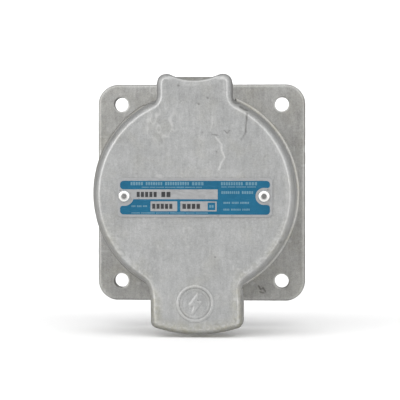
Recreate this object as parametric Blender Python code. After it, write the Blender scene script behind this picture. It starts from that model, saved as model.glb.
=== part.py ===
"""Flange-mounted 60 A generator power inlet with a sprung, hinged weather cover.

Frame: X to the right, Y into the box wall, Z up, seen from the front.  The
origin is on the sleeve's axis, on the front insulator's face, where the nose
of a mating plug stops.  Sizes are in mm.  The pieces are drawn with y = 0 in
the plane that meets the enclosure; the datum empty, which holds them all,
puts the plug seat at the origin.  The front of a piece has the lower y.
"""

import math

import bmesh
import bpy
from mathutils import Matrix, Vector

MM = 0.001
SHARP_ANGLE = 35.0              # edges steeper than this are shaded sharp, degrees

# ---------------------------------------------------------- shared sizes, mm
GAP = 0.3                       # clearance between neighbouring solids

FLANGE_W, FLANGE_H = 127.0, 132.4
FLANGE_CORNER = 11.5
SEAL_T = 1.6                    # mounting gasket thickness
FLANGE_BACK = -(SEAL_T + GAP)
FLANGE_T = 6.5
FLANGE_FRONT = FLANGE_BACK - FLANGE_T
HOLE_PITCH_X, HOLE_PITCH_Z, HOLE_R = 98.4, 107.95, 4.35

RIM_R = 60.0                    # outer lip that stands proud behind the cover
LIP_FRONT = -61.8               # raised edge that bites the cover gasket
LEDGE_FRONT, LEDGE_BACK = -14.0, -7.5       # ledge that carries the front insulator
RECESS_R = 42.0                 # opening behind the ledge

COVER_FRONT = -70.4
COVER_PLATE_T = 4.5
COVER_INNER = COVER_FRONT + COVER_PLATE_T
RIVET_X, RIVET_Z, RIVET_HOLE_R = 40.25, -1.0, 1.75      # nameplate screws
RIVETS = [(-RIVET_X, RIVET_Z), (RIVET_X, RIVET_Z)]
RIVET_CUT = (-80, -60)          # y range of the holes' cutters

PIN_Y, PIN_Z, HINGE_PIN_R = -56.9, 60.2, 3.0
EAR_IN, EAR_OUT = 14.9, 21.9    # inner and outer sides of the hinge ears, x
SET_SCREW_X = 8.5               # set screw that locks the hinge pin

SEAT_Y = -22.4                  # front insulator's face, the plug seat
POLE_R = 18.0                   # contacts sit on this circle
GROUND_ANGLE = 315
SCREW_CIRCLE_R = 35.5           # insulator screws sit on this circle
BOND_R = 36.0                   # bonding screw, behind the ground contact


def polar(angle, radius=POLE_R):
    """(x, z) at an angle in degrees from +X towards +Z."""
    return radius * math.cos(math.radians(angle)), radius * math.sin(math.radians(angle))


CORNERS = ((1, 1), (-1, 1), (-1, -1), (1, -1))      # signs of x and z
MOUNTING_HOLES = [(sign_x * HOLE_PITCH_X / 2, sign_z * HOLE_PITCH_Z / 2)
                  for sign_x, sign_z in CORNERS]
# top, right, bottom, left
INSULATOR_SCREWS = [(x * SCREW_CIRCLE_R, z * SCREW_CIRCLE_R)
                    for x, z in ((0, 1), (1, 0), (0, -1), (-1, 0))]
BOND_PLACE = polar(GROUND_ANGLE, BOND_R)


# ------------------------------------------------------------ modelling tools
def clear_scene():
    for obj in list(bpy.data.objects):
        bpy.data.objects.remove(obj, do_unlink=True)
    for mesh in list(bpy.data.meshes):
        bpy.data.meshes.remove(mesh)


MATERIALS = {}


def make_material(name, colour, roughness, metallic):
    material = bpy.data.materials.new(name)
    material.use_nodes = True
    shader = material.node_tree.nodes["Principled BSDF"]
    shader.inputs["Base Color"].default_value = (*colour, 1.0)
    shader.inputs["Roughness"].default_value = roughness
    shader.inputs["Metallic"].default_value = metallic
    material.diffuse_color = (*colour, 1.0)
    MATERIALS[name] = material


def link(obj):
    bpy.context.scene.collection.objects.link(obj)
    return obj


def finish_object(name, solid, material=None):
    """Turn a bmesh into a shaded object."""
    bmesh.ops.recalc_face_normals(solid, faces=solid.faces)
    mesh = bpy.data.meshes.new(name)
    solid.to_mesh(mesh)
    solid.free()
    mesh.shade_smooth()
    mesh.set_sharp_from_angle(angle=math.radians(SHARP_ANGLE))
    obj = link(bpy.data.objects.new(name, mesh))
    if material:
        mesh.materials.append(MATERIALS[material])
    return obj


def turned(name, profile, material=None, segments=32, at=(0, 0, 0), along=(0, 1, 0),
           closed=False):
    """A turned piece with its origin at `at` and its axis along `along`.
    profile holds (radius, height) points, height along the axis: from axis to
    axis for a solid, or closed=True for a ring."""
    solid = bmesh.new()
    if not closed:                  # flat ends are one face each
        profile = list(profile)
        if profile[0][1] == profile[1][1]:
            del profile[0]
        if profile[-1][1] == profile[-2][1]:
            del profile[-1]
    verts = [solid.verts.new((radius * MM, 0.0, height * MM)) for radius, height in profile]
    edges = [solid.edges.new(pair) for pair in zip(verts, verts[1:])]
    if closed:
        edges.append(solid.edges.new((verts[-1], verts[0])))
    bmesh.ops.spin(solid, geom=verts + edges, cent=(0, 0, 0), axis=(0, 0, 1),
                   angle=math.tau, steps=segments, use_merge=False)
    bmesh.ops.remove_doubles(solid, verts=solid.verts, dist=1e-6)
    bmesh.ops.holes_fill(solid, edges=[e for e in solid.edges if e.is_boundary], sides=0)
    obj = finish_object(name, solid, material)
    obj.rotation_mode = "QUATERNION"
    obj.rotation_quaternion = Vector(along).to_track_quat("Z", "Y")
    obj.location = Vector(at) * MM
    return obj


def lofted(name, rings, material=None):
    """Closed solid through rings of (x, y, z) points, one for one, capped at
    both ends."""
    solid = bmesh.new()
    loops = [[solid.verts.new(Vector(point) * MM) for point in ring] for ring in rings]
    count = len(loops[0])
    for lower, upper in zip(loops, loops[1:]):
        for i in range(count):
            j = (i + 1) % count
            solid.faces.new((lower[i], lower[j], upper[j], upper[i]))
    solid.faces.new(list(reversed(loops[0])))
    solid.faces.new(loops[-1])
    return finish_object(name, solid, material)


def extruded(name, outline, start, depth, material=None, axis="Y"):
    """Prism of an outline along an axis.  The outline's points are (x, z) for
    axis Y, (y, z) for X and (x, y) for Z."""
    def point(first, second, along):
        return Vector({"Y": (first, along, second),
                       "X": (along, first, second),
                       "Z": (first, second, along)}[axis]) * MM
    solid = bmesh.new()
    face = solid.faces.new([solid.verts.new(point(first, second, start))
                            for first, second in outline])
    result = bmesh.ops.extrude_face_region(solid, geom=[face])
    moved = [item for item in result["geom"] if isinstance(item, bmesh.types.BMVert)]
    bmesh.ops.translate(solid, verts=moved, vec=point(0, 0, depth))
    return finish_object(name, solid, material)


def block(name, low, high):
    """Box between two opposite corners."""
    solid = bmesh.new()
    bmesh.ops.create_cube(solid, size=1.0)
    size = [(b - a) * MM for a, b in zip(low, high)]
    middle = [(b + a) / 2 * MM for a, b in zip(low, high)]
    bmesh.ops.scale(solid, vec=size, verts=solid.verts)
    bmesh.ops.translate(solid, vec=middle, verts=solid.verts)
    return finish_object(name, solid)


def rod(name, radius, start, end, segments=16):
    """Plain cylinder between two points, for cutters and joined lumps."""
    start = Vector(start)
    reach = Vector(end) - start
    profile = [(0, 0), (radius, 0), (radius, reach.length), (0, reach.length)]
    return turned(name, profile, segments=segments, at=start, along=reach)


def rod_y(name, radius, place, span, segments=16):
    """Rod along Y at an (x, z) place, over a span of y."""
    x, z = place
    return rod(name, radius, (x, span[0], z), (x, span[1], z), segments)


def rod_on_hinge(name, radius, start_x, end_x, segments=16):
    """Rod on the hinge axis, from left to right."""
    return rod(name, radius, (start_x, PIN_Y, PIN_Z), (end_x, PIN_Y, PIN_Z), segments)


def combine(obj, helper, operation):
    """Boolean with a helper, which is then kept out of the model."""
    helper.hide_render = True
    helper.display_type = "WIRE"
    modifier = obj.modifiers.new(f"{operation}_{helper.name}", "BOOLEAN")
    modifier.operation = operation
    modifier.solver = "EXACT"
    modifier.object = helper


def cut(obj, *helpers):
    for helper in helpers:
        combine(obj, helper, "DIFFERENCE")


def join(obj, *helpers):
    for helper in helpers:
        combine(obj, helper, "UNION")


def drill(obj, prefix, radius, places, span, segments):
    """Cut a numbered hole along Y at each (x, z) place."""
    for k, place in enumerate(places):
        cut(obj, rod_y(f"{prefix}_{k}", radius, place, span, segments))


def face_angle(obj, angle):
    """Turn a piece drawn along +X about Y, so that it points to polar(angle)."""
    obj.rotation_euler = (0, math.radians(-angle), 0)


def quarter_arc(steps):
    """(sine, cosine) pairs from 0 to 90 degrees."""
    angles = [math.radians(90 * i / steps) for i in range(steps + 1)]
    return [(math.sin(angle), math.cos(angle)) for angle in angles]


def rounded_rectangle(width, height, radius, segments=5):
    """Closed outline as (x, z) points."""
    points = []
    for k, (sign_x, sign_z) in enumerate(CORNERS):
        for i in range(segments + 1):
            angle = math.radians(90 * k + 90 * i / segments)
            points.append((sign_x * (width / 2 - radius) + radius * math.cos(angle),
                           sign_z * (height / 2 - radius) + radius * math.sin(angle)))
    return points


DRIVER_SLOT_HALF = 0.45         # half width of a screw's driver slot


def cut_driver_slot(screw, name, half_length, bottom, top):
    """Slot across a turned screw; bottom and top are heights on its axis."""
    slot = block(name, (-half_length, -DRIVER_SLOT_HALF, bottom),
                 (half_length, DRIVER_SLOT_HALF, top))
    slot.rotation_mode = "QUATERNION"
    slot.rotation_quaternion = screw.rotation_quaternion.copy()
    slot.location = screw.location.copy()
    cut(screw, slot)


def slotted_screw(name, at, along, head_r, head_h, shank_r, length,
                  material="zinc_steel"):
    """Pan-head slotted screw; its origin is under the head."""
    profile = [(0, head_h), (head_r * 0.72, head_h * 0.93), (head_r, 0.45 * head_h),
               (head_r, 0), (shank_r, 0), (shank_r, -length + 0.6),
               (shank_r - 0.5, -length), (0, -length)]
    screw = turned(name, profile, material, 12, at=at, along=along)
    cut_driver_slot(screw, name + "_slot", half_length=head_r + 1,
                    bottom=head_h * 0.45, top=head_h + 2)


# ------------------------------------------------------------------- housing
WELL_R = 45.5                   # inside of the plug sleeve
SLEEVE_FRONT_R, SLEEVE_BACK_R = 51.2, 52.8
SLEEVE_FILLET_R = 4             # where the sleeve meets the flange
RIM_FRONT, RIM_BACK = -60.4, -53.4
LIP_R = 50.5
LEDGE_R = 30.0

# flange section: inset of the outline, y
FLANGE_SECTION = ((1.8, FLANGE_FRONT), (0.5, FLANGE_FRONT + 0.5),
                  (0.0, FLANGE_FRONT + 1.8), (0.0, FLANGE_BACK - 0.5),
                  (0.5, FLANGE_BACK))
FLANGE_CUT = (-20, 5)           # y range of cutters through the flange

BARREL_R, BOSS_HALF = 8.5, 14.5             # hinge boss
# side views, (y, z)
WEB_SIDE = [(-60.1, 46.6), (-60.1, 58.0), (-58.0, 60.0),
            (-50.0, 60.0), (-48.6, 57.5), (-46.0, 46.6)]
RIB_SIDE = [(-49.3, 49.3), (-49.3, 57.0), (-11.0, 55.0), (-7.0, 58.5), (-6.4, 49.3)]
WEB_HALF = BOSS_HALF - 0.3
RIB_HALF = 3.0

LUMP_SPAN = (LEDGE_BACK - 2, FLANGE_BACK - 0.6)     # y range of bosses behind the ledge
SCREW_BOSS_R, SCREW_BORE_R = 4.8, 2.45
BOND_BOSS_R, BOND_BORE_R = 4.6, 2.0
BORE_END = 2                    # y where the cutters of the bores end

POCKET_R, POCKET_X = 6.4, 2.5   # the spring pocket's radius and its right end
POCKET_LEFT = -BOSS_HALF - 1    # its cutters start outside the boss
SLOT_BACK = -45.0               # y where the slots for the spring's legs end


def make_housing_body():
    """Sleeve, outer rim and ledge, turned in one."""
    fillet = [(SLEEVE_BACK_R + SLEEVE_FILLET_R - SLEEVE_FILLET_R * sine,
               FLANGE_FRONT - SLEEVE_FILLET_R + SLEEVE_FILLET_R * cosine)
              for sine, cosine in quarter_arc(3)]
    profile = [                 # radius, y
        (WELL_R + 0.8, LIP_FRONT), (LIP_R - 0.8, LIP_FRONT),
        (LIP_R, LIP_FRONT + 0.8), (LIP_R, RIM_FRONT),
        (RIM_R - 1.2, RIM_FRONT), (RIM_R, RIM_FRONT + 1.2),
        (RIM_R, RIM_BACK - 1.6), (RIM_R - 1.6, RIM_BACK),
        (SLEEVE_FRONT_R + 1.5, RIM_BACK), (SLEEVE_FRONT_R + 0.3, RIM_BACK + 2.5),
        *reversed(fillet),
        (SLEEVE_BACK_R + SLEEVE_FILLET_R, FLANGE_FRONT + 2.0),
        (RECESS_R + 3.0, FLANGE_FRONT + 3.0), (RECESS_R + 1.0, LEDGE_BACK),
        (LEDGE_R, LEDGE_BACK), (LEDGE_R, LEDGE_FRONT + 0.5),
        (LEDGE_R + 0.5, LEDGE_FRONT), (WELL_R - 1.0, LEDGE_FRONT),
        (WELL_R, LEDGE_FRONT - 1.0), (WELL_R, LIP_FRONT + 0.8),
    ]
    return turned("housing", profile, "cast_aluminium", 48, closed=True)


def join_flange(housing):
    rings = [[(x, y, z) for x, z in rounded_rectangle(
                 FLANGE_W - 2 * inset, FLANGE_H - 2 * inset, FLANGE_CORNER - inset)]
             for inset, y in FLANGE_SECTION]
    flange = lofted("flange_plate", rings)
    cut(flange, rod_y("flange_opening", RECESS_R, (0, 0), FLANGE_CUT, 48))
    join(housing, flange)


def join_hinge_boss(housing):
    """A barrel on a web that rises from the sleeve, and a rib behind them."""
    web = extruded("boss_web", WEB_SIDE, -WEB_HALF, 2 * WEB_HALF, axis="X")
    join(web, rod_on_hinge("boss_barrel", BARREL_R, -BOSS_HALF, BOSS_HALF, 28))
    join(housing, web)
    join(housing, extruded("boss_rib", RIB_SIDE, -RIB_HALF, 2 * RIB_HALF, axis="X"))


def join_ledge_bosses(housing):
    for k, place in enumerate(INSULATOR_SCREWS):
        join(housing, rod_y(f"screw_boss_{k}", SCREW_BOSS_R, place, LUMP_SPAN))
    join(housing, rod_y("bond_boss", BOND_BOSS_R, BOND_PLACE, LUMP_SPAN))


def cut_hinge_boss(housing):
    """Spring pocket, open to the front below the roof and at its left end,
    with room for both legs; then the pin's bore and its set screw's hole."""
    cut(housing,
        rod_on_hinge("spring_pocket", POCKET_R, POCKET_LEFT, POCKET_X, 24),
        block("spring_front", (POCKET_LEFT, -66.0, 51.4),
              (POCKET_X - 0.2, PIN_Y - 0.4, PIN_Z - 0.5)),
        block("leg_slot", (POCKET_LEFT, -67.0, PIN_Z - 2.2),
              (-11.7, SLOT_BACK, PIN_Z + 10)),
        block("leg_groove", (-0.2, PIN_Y - 1, PIN_Z - 6.3),
              (POCKET_X - 0.1, SLOT_BACK, PIN_Z - 3.4)),
        rod_on_hinge("boss_bore", HINGE_PIN_R + 0.15, -20, 20),
        rod_y("set_screw_hole", 2.2, (SET_SCREW_X, PIN_Z), (PIN_Y + 1.5, -44.0), 12))


def make_housing():
    """One casting: square flange, plug sleeve, outer rim, ledge, hinge boss."""
    housing = make_housing_body()
    join_flange(housing)
    # the rim stops at the top, where the cover's hinge ears hang
    cut(housing, block("rim_gap", (-EAR_OUT - 1.0, -66, 50.6), (EAR_OUT + 1.0, -46.9, 64)))
    join_hinge_boss(housing)
    # polarising rib that keys the plug
    join(housing, block("plug_key", (-3.0, -50.0, 42.3), (3.0, -13.4, 46.5)))
    join_ledge_bosses(housing)
    cut_hinge_boss(housing)
    drill(housing, "screw_bore", SCREW_BORE_R, INSULATOR_SCREWS,
          (FLANGE_CUT[0], BORE_END), 12)
    cut(housing, rod_y("bond_bore", BOND_BORE_R, BOND_PLACE,
                       (LEDGE_FRONT + 3.0, BORE_END), 12))
    drill(housing, "mounting_hole", HOLE_R, MOUNTING_HOLES, FLANGE_CUT, 20)


def make_mounting_gasket():
    inset = 0.5                 # from the flange's edge
    span = (-9, 5)              # y range of the cutters
    outline = rounded_rectangle(FLANGE_W - 2 * inset, FLANGE_H - 2 * inset,
                                FLANGE_CORNER - inset)
    sheet = extruded("mounting_gasket", outline, -SEAL_T, SEAL_T, "black_neoprene")
    cut(sheet, rod_y("gasket_opening", RECESS_R + 2, (0, 0), span, 36))
    drill(sheet, "gasket_hole", HOLE_R + 0.3, MOUNTING_HOLES, span, 16)


# ------------------------------------------------------ outline of the cover
NECK_TOP_Z, HORN_R = 64.9, 5.2  # dip at the top centre, and the horns beside it
HORN_X, HORN_Z = EAR_OUT - HORN_R, 69.4 - HORN_R
COVER_R = 57.5
NECK_FILLET_R, TAB_FILLET_R = 6.0, 9.0
TAB_HALF, TAB_CORNER_R, TAB_ARC_R, TAB_Z = 26.6, 5.2, 77.0, -81.0   # pull tab


def outline_arcs():
    """Arcs of the cover's right half, from the top centre to the bottom centre:
    centre x, centre z, radius, start and end in degrees, segments.  The radius
    is negative where the outline is concave."""
    rise = HORN_Z - NECK_TOP_Z
    top_r = (HORN_X ** 2 + rise ** 2 - HORN_R ** 2) / (2 * (HORN_R + rise))
    top_z = NECK_TOP_Z + top_r
    top_end = math.degrees(math.atan2(HORN_Z - top_z, HORN_X))
    neck_x = EAR_OUT + NECK_FILLET_R
    neck_z = math.sqrt((COVER_R + NECK_FILLET_R) ** 2 - neck_x ** 2)
    neck_angle = math.degrees(math.atan2(neck_z, neck_x))
    tab_x = TAB_HALF + TAB_FILLET_R
    tab_z = -math.sqrt((COVER_R + TAB_FILLET_R) ** 2 - tab_x ** 2)
    tab_angle = math.degrees(math.atan2(tab_z, tab_x))
    arc_z = TAB_Z + TAB_ARC_R
    corner_x = TAB_HALF - TAB_CORNER_R
    corner_z = arc_z - math.sqrt((TAB_ARC_R - TAB_CORNER_R) ** 2 - corner_x ** 2)
    corner_end = math.degrees(math.atan2(corner_z - arc_z, corner_x))
    return [
        (0.0, top_z, -top_r, -90.0, top_end, 3),
        (HORN_X, HORN_Z, HORN_R, 180.0 + top_end, 0.0, 5),
        (neck_x, neck_z, -NECK_FILLET_R, 180.0, 180.0 + neck_angle, 3),
        (0.0, 0.0, COVER_R, neck_angle, tab_angle, 13),
        (tab_x, tab_z, -TAB_FILLET_R, 180.0 + tab_angle, 180.0, 3),
        (corner_x, corner_z, TAB_CORNER_R, 0.0, corner_end, 3),
        (0.0, arc_z, TAB_ARC_R, corner_end, -90.0, 3),
    ]


def cover_outline(inset):
    """Closed outline of the cover, moved inwards by inset, as (x, z) points."""
    right = []
    for centre_x, centre_z, radius, start, end, segments in outline_arcs():
        reach = abs(radius) + (inset if radius < 0 else -inset)
        for i in range(segments + 1):
            angle = math.radians(start + (end - start) * i / segments)
            point = (centre_x + reach * math.cos(angle), centre_z + reach * math.sin(angle))
            if not right or math.dist(point, right[-1]) > 1e-4:
                right.append(point)
    left = [(-x, z) for x, z in reversed(right[1:-1])]
    return [(0.0, right[0][1])] + right[1:-1] + [(0.0, right[-1][1])] + left


def cover_ring(inset, y):
    return [(x, y, z) for x, z in cover_outline(inset)]


# --------------------------------------------------------------------- cover
COVER_EDGE_R = 3.4              # rounding of the front edge
SKIRT_BACK = -61.4              # where the skirt ends around the sleeve
HOOD_BACK = -52.4               # where the pull hood ends
COVER_CUT_BACK = -40            # y where the cutters behind the cover end

EAR_R, EAR_TOP, EAR_BOTTOM = 9.2, 69.8, 53.5
# front of an ear's side view, (y, z), up to the arc about the pin
EAR_SIDE_FRONT = [(-68.6, EAR_BOTTOM), (-68.6, 68.0), (-66.8, EAR_TOP), (PIN_Y, EAR_TOP)]
EAR_INSET = 0.5                 # ears stay this far inside the cover's outline
SWEEP_R = 9.0                   # clearance around the boss barrel


def ear_side():
    """Side view of an ear, round about the pin, as (y, z) points."""
    arc = []
    for i in range(1, 13):
        angle = math.radians(90 - 180 * i / 12)
        arc.append((PIN_Y + EAR_R * math.cos(angle), PIN_Z + EAR_R * math.sin(angle)))
    return EAR_SIDE_FRONT + arc + [(-64.5, EAR_BOTTOM)]


def ear_front():
    """Front view of the right ear, horn-shaped, as (x, z) points."""
    radius = HORN_R - EAR_INSET
    reach = math.degrees(math.acos((EAR_IN - HORN_X) / radius))
    angles = [math.radians(reach * i / 7) for i in range(8)]
    return [(EAR_IN, 48.0), (EAR_OUT - EAR_INSET, 48.0)] + [
        (HORN_X + radius * math.cos(angle), HORN_Z + radius * math.sin(angle))
        for angle in angles]


def make_cover():
    """Cast cover: round plate with a skirt, hinge neck above, pull hood below."""
    rings = [cover_ring(COVER_EDGE_R * (1 - sine), COVER_FRONT + COVER_EDGE_R * (1 - cosine))
             for sine, cosine in quarter_arc(3)]
    rings += [cover_ring(-0.4, HOOD_BACK - 0.4), cover_ring(0.0, HOOD_BACK)]
    cover = lofted("cover", rings, "cast_aluminium_cover")
    cut(cover,
        lofted("cover_cavity", [cover_ring(5.0, COVER_INNER),
                                cover_ring(4.3, COVER_INNER + 0.8),
                                cover_ring(3.9, HOOD_BACK + 3)]),
        rod_y("cover_back", RIM_R + 1.3, (0, 0), (SKIRT_BACK, COVER_CUT_BACK), 48),
        block("neck_back", (-32, SKIRT_BACK, 44), (32, COVER_CUT_BACK, 80)))

    # each ear is its side view crossed with its front view
    for name, sign in (("ear_right", 1), ("ear_left", -1)):
        ear = extruded(name, ear_side(), sign * 10.0, sign * 20.0, axis="X")
        horn = extruded(name + "_horn", [(sign * x, z) for x, z in ear_front()], -75, 35)
        combine(ear, horn, "INTERSECT")
        join(cover, ear)
    cut(cover,
        rod_on_hinge("barrel_sweep", SWEEP_R, -EAR_IN + 0.1, EAR_IN - 0.1, 32),
        rod_on_hinge("ear_bore", HINGE_PIN_R + 0.2, -30, 30))
    drill(cover, "rivet_hole", RIVET_HOLE_R, RIVETS, RIVET_CUT, 12)


def make_cover_gasket():
    inner, outer, bevel = 44.6, 52.6, 0.6
    front, back = COVER_INNER + GAP, LIP_FRONT - GAP
    turned("cover_gasket",
           [(inner, front), (outer, front), (outer, back - bevel),
            (outer - bevel, back), (inner + bevel, back), (inner, back - bevel)],
           "cover_neoprene", 32, closed=True)


def make_nameplate():
    width, height, corner, thickness, middle_z = 90, 24, 2.2, 0.8, -1.8
    outline = [(x, z + middle_z) for x, z in rounded_rectangle(width, height, corner, 3)]
    plate = extruded("nameplate", outline, COVER_FRONT - 1.0, thickness, "enamelled_plate")
    drill(plate, "plate_hole", RIVET_HOLE_R, RIVETS, RIVET_CUT, 12)


def make_nameplate_screws():
    # radius, height above the underside of the domed head
    profile = [(0.0, 2.0), (1.3, 1.85), (2.3, 1.4), (2.9, 0.7), (3.0, 0.25),
               (2.9, 0.0), (1.5, 0.0), (1.5, -4.6), (1.0, -5.4), (0.0, -5.4)]
    for side, (x, z) in zip(("left", "right"), RIVETS):
        turned(f"nameplate_screw_{side}", profile, "nickel_steel", 14,
               at=(x, COVER_FRONT - 1.2, z), along=(0, -1, 0))


# --------------------------------------------------------------------- hinge
SPRING_R, SPRING_WIRE_R = 4.6, 0.9
SPRING_RIGHT, SPRING_LEFT = 1.15, -13.1     # x of the rear and the front leg
SPRING_TURNS, STEPS_PER_TURN = 6.25, 10


def make_hinge_pin():
    length, bevel = 2 * EAR_OUT - 1.6, 0.5
    turned("hinge_pin",
           [(0, 0), (HINGE_PIN_R - bevel, 0), (HINGE_PIN_R, bevel),
            (HINGE_PIN_R, length - bevel), (HINGE_PIN_R - bevel, length), (0, length)],
           "stainless_steel", 16, at=(-length / 2, PIN_Y, PIN_Z), along=(1, 0, 0))


def make_hinge_set_screw():
    """Locks the pin in the boss, from behind."""
    half_length, half_width = 2.5, 0.35     # of its driver slot
    screw = turned("hinge_pin_set_screw",
                   [(0, 0), (1.4, 0), (2.0, 0.6), (2.0, 4.2), (1.7, 4.5), (0, 4.5)],
                   "zinc_steel", 16, at=(SET_SCREW_X, PIN_Y + HINGE_PIN_R + GAP, PIN_Z))
    cut(screw, block("set_slot", (SET_SCREW_X - half_length, -50.6, PIN_Z - half_width),
                     (SET_SCREW_X + half_length, -48.0, PIN_Z + half_width)))


def spring_path():
    """The rear leg lies in the boss.  The front leg stands up behind the neck
    and pushes it forwards above the pin, which shuts the cover."""
    points = [(SPRING_RIGHT, PIN_Y + 7.4, PIN_Z - SPRING_R),
              (SPRING_RIGHT, PIN_Y + 3, PIN_Z - SPRING_R)]
    steps = int(SPRING_TURNS * STEPS_PER_TURN)
    for i in range(steps + 1):
        angle = math.radians(270 - 360 * SPRING_TURNS * i / steps)
        points.append((SPRING_RIGHT + (SPRING_LEFT - SPRING_RIGHT) * i / steps,
                       PIN_Y + SPRING_R * math.cos(angle),
                       PIN_Z + SPRING_R * math.sin(angle)))
    points.append((SPRING_LEFT, PIN_Y - SPRING_R - 0.1, PIN_Z + 3.0))
    points.append((SPRING_LEFT, PIN_Y - SPRING_R - 0.2, PIN_Z + 6.2))
    return points


def make_torsion_spring():
    path = spring_path()
    curve = bpy.data.curves.new("torsion_spring", "CURVE")
    curve.dimensions = "3D"
    curve.bevel_depth = SPRING_WIRE_R * MM
    curve.bevel_resolution = 1
    curve.use_fill_caps = True
    spline = curve.splines.new("POLY")
    spline.points.add(len(path) - 1)
    for spline_point, place in zip(spline.points, path):
        spline_point.co = (*(Vector(place) * MM), 1.0)
    curve.materials.append(MATERIALS["stainless_steel"])
    link(bpy.data.objects.new("torsion_spring", curve))


# ---------------------------------------------------------------- insulators
FRONT_SEAT = -15.4              # back of the front insulator's rim
HEAD_SEAT = SEAT_Y + 3.0        # screw heads sit below the face
FRONT_BACK = 1.6
FRONT_R, STEM_R = 41.0, 29.6
REAR_R, REAR_FRONT, REAR_WALL, REAR_BACK = 29.0, 1.9, 8.0, 37.0
FRONT_CUT_BACK, REAR_CUT_BACK = 5, 45       # y where the cutters end

LINE_R = 4.75
GROUND_R = LINE_R + 0.8
LINE_TIP, GROUND_TIP = -52.5, -56.0
# name, name of the contact, angle, radius, y of the tip
POLES = (
    ("line_1", "line_pin_1", 135, LINE_R, LINE_TIP),
    ("line_2", "line_pin_2", 45, LINE_R, LINE_TIP),
    ("line_3", "line_pin_3", 225, LINE_R, LINE_TIP),
    ("ground", "ground_pin", GROUND_ANGLE, GROUND_R, GROUND_TIP),
)


def make_front_insulator():
    front = turned("insulator_front",
                   [(0, SEAT_Y), (FRONT_R - 0.6, SEAT_Y), (FRONT_R, SEAT_Y + 0.6),
                    (FRONT_R, FRONT_SEAT), (STEM_R, FRONT_SEAT), (STEM_R, FRONT_BACK),
                    (0, FRONT_BACK)], "red_insulator", 36)
    for name, _, angle, radius, _ in POLES:
        place = polar(angle)
        cut(front,
            rod_y(f"{name}_front_bore", radius + GAP, place, (-30, FRONT_CUT_BACK)),
            rod_y(f"{name}_collar_bore", 7.1, place, (-1.6, FRONT_CUT_BACK)))
    # stepped screw holes: radius, y from the face
    head_depth, head_r, shank_r = HEAD_SEAT - SEAT_Y, 4.5, 2.6
    profile = [(0, -8.0), (head_r, -8.0), (head_r, head_depth),
               (shank_r, head_depth), (shank_r, 12.0), (0, 12.0)]
    for k, (x, z) in enumerate(INSULATOR_SCREWS):
        cut(front, turned(f"front_screw_hole_{k}", profile, segments=14, at=(x, SEAT_Y, z)))
    cut(front, rod_y("centre_thread", 2.5, (0, 0), (-12.0, FRONT_CUT_BACK), 12))


def make_rear_insulator():
    rear = turned("insulator_rear",
                  [(0, REAR_FRONT), (REAR_R - 0.8, REAR_FRONT), (REAR_R, REAR_FRONT + 0.8),
                   (REAR_R, REAR_BACK - 1.0), (REAR_R - 1.0, REAR_BACK), (0, REAR_BACK)],
                  "black_insulator", 32)
    for name, _, angle, _, _ in POLES:
        place = polar(angle)
        # radial opening so that a driver reaches the clamp screw
        slot = block(f"{name}_slot", (15.0, 18.0, -3.6), (34.0, REAR_CUT_BACK, 3.6))
        face_angle(slot, angle)
        cut(rear,
            rod_y(f"{name}_rear_bore", 3.6, place, (0, 12), 12),
            rod_y(f"{name}_pocket", 8.0, place, (REAR_WALL, REAR_CUT_BACK)),
            slot)
    channel = block("strap_channel", (11.5, 0.5, -5.4), (34.0, 3.6, 5.4))
    face_angle(channel, GROUND_ANGLE - 360)
    cut(rear, channel,
        rod_y("centre_hole", 2.8, (0, 0), (0, REAR_CUT_BACK), 12),
        rod_y("centre_counterbore", 5.3, (0, 0), (REAR_BACK - 4.5, REAR_CUT_BACK), 20))


def make_insulator_gasket():
    inner, outer = 30.6, 41.4
    front, back = LEDGE_FRONT - GAP, FRONT_SEAT + GAP
    seal = turned("insulator_gasket",
                  [(inner, front), (outer, front), (outer, back), (inner, back)],
                  "black_neoprene", 32, closed=True)
    drill(seal, "seal_hole", 2.8, INSULATOR_SCREWS, (-20, -10), 12)


def make_insulator_screws():
    for side, (x, z) in zip(("top", "right", "bottom", "left"), INSULATOR_SCREWS):
        slotted_screw(f"insulator_screw_{side}", (x, HEAD_SEAT - 0.2, z), (0, -1, 0),
                      head_r=4.0, head_h=2.4, shank_r=2.15, length=17.0)
    slotted_screw("insulator_clamp_screw", (0, REAR_BACK - 4.2, 0), (0, 1, 0),
                  head_r=4.4, head_h=3.0, shank_r=2.2, length=42.0)


# ------------------------------------------------------------------ contacts
COLLAR_R, COLLAR_HALF = 6.7, 1.3
TAIL_R, TAIL_BACK = 3.2, 15.0
CLAMP_Y = 26                    # clamp screw's axis
CLAMP_START = 4.6               # its inner end, outwards from the contact's axis


def make_contact(piece, angle, radius, tip):
    x, z = polar(angle)
    turned(piece,
           [(0, tip), (radius * 0.45, tip + 0.4), (radius * 0.8, tip + 1.6),
            (radius, tip + 3.6), (radius, -COLLAR_HALF), (COLLAR_R, -COLLAR_HALF),
            (COLLAR_R, COLLAR_HALF), (TAIL_R, COLLAR_HALF), (TAIL_R, TAIL_BACK - 0.4),
            (TAIL_R - 0.4, TAIL_BACK), (0, TAIL_BACK)],
           "nickel_brass", 16, at=(x, 0, z))


def make_terminal(name, angle):
    """Pressure terminal behind the contact: a barrel with a wire hole."""
    x, z = polar(angle)
    out_x, out_z = polar(angle, 1)
    terminal = turned(f"{name}_terminal",
                      [(3.5, 8.4), (6.6, 8.4), (7.3, 9.1), (7.3, 33.4), (6.6, 34.0),
                       (4.9, 34.0), (4.3, 33.4), (4.3, 17.5), (3.5, 16.5)],
                      "tinned_copper", 16, at=(x, 0, z), closed=True)
    cut(terminal, rod(f"{name}_thread", 2.8, (x + 2 * out_x, CLAMP_Y, z + 2 * out_z),
                      (x + 12 * out_x, CLAMP_Y, z + 12 * out_z), 12))


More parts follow.
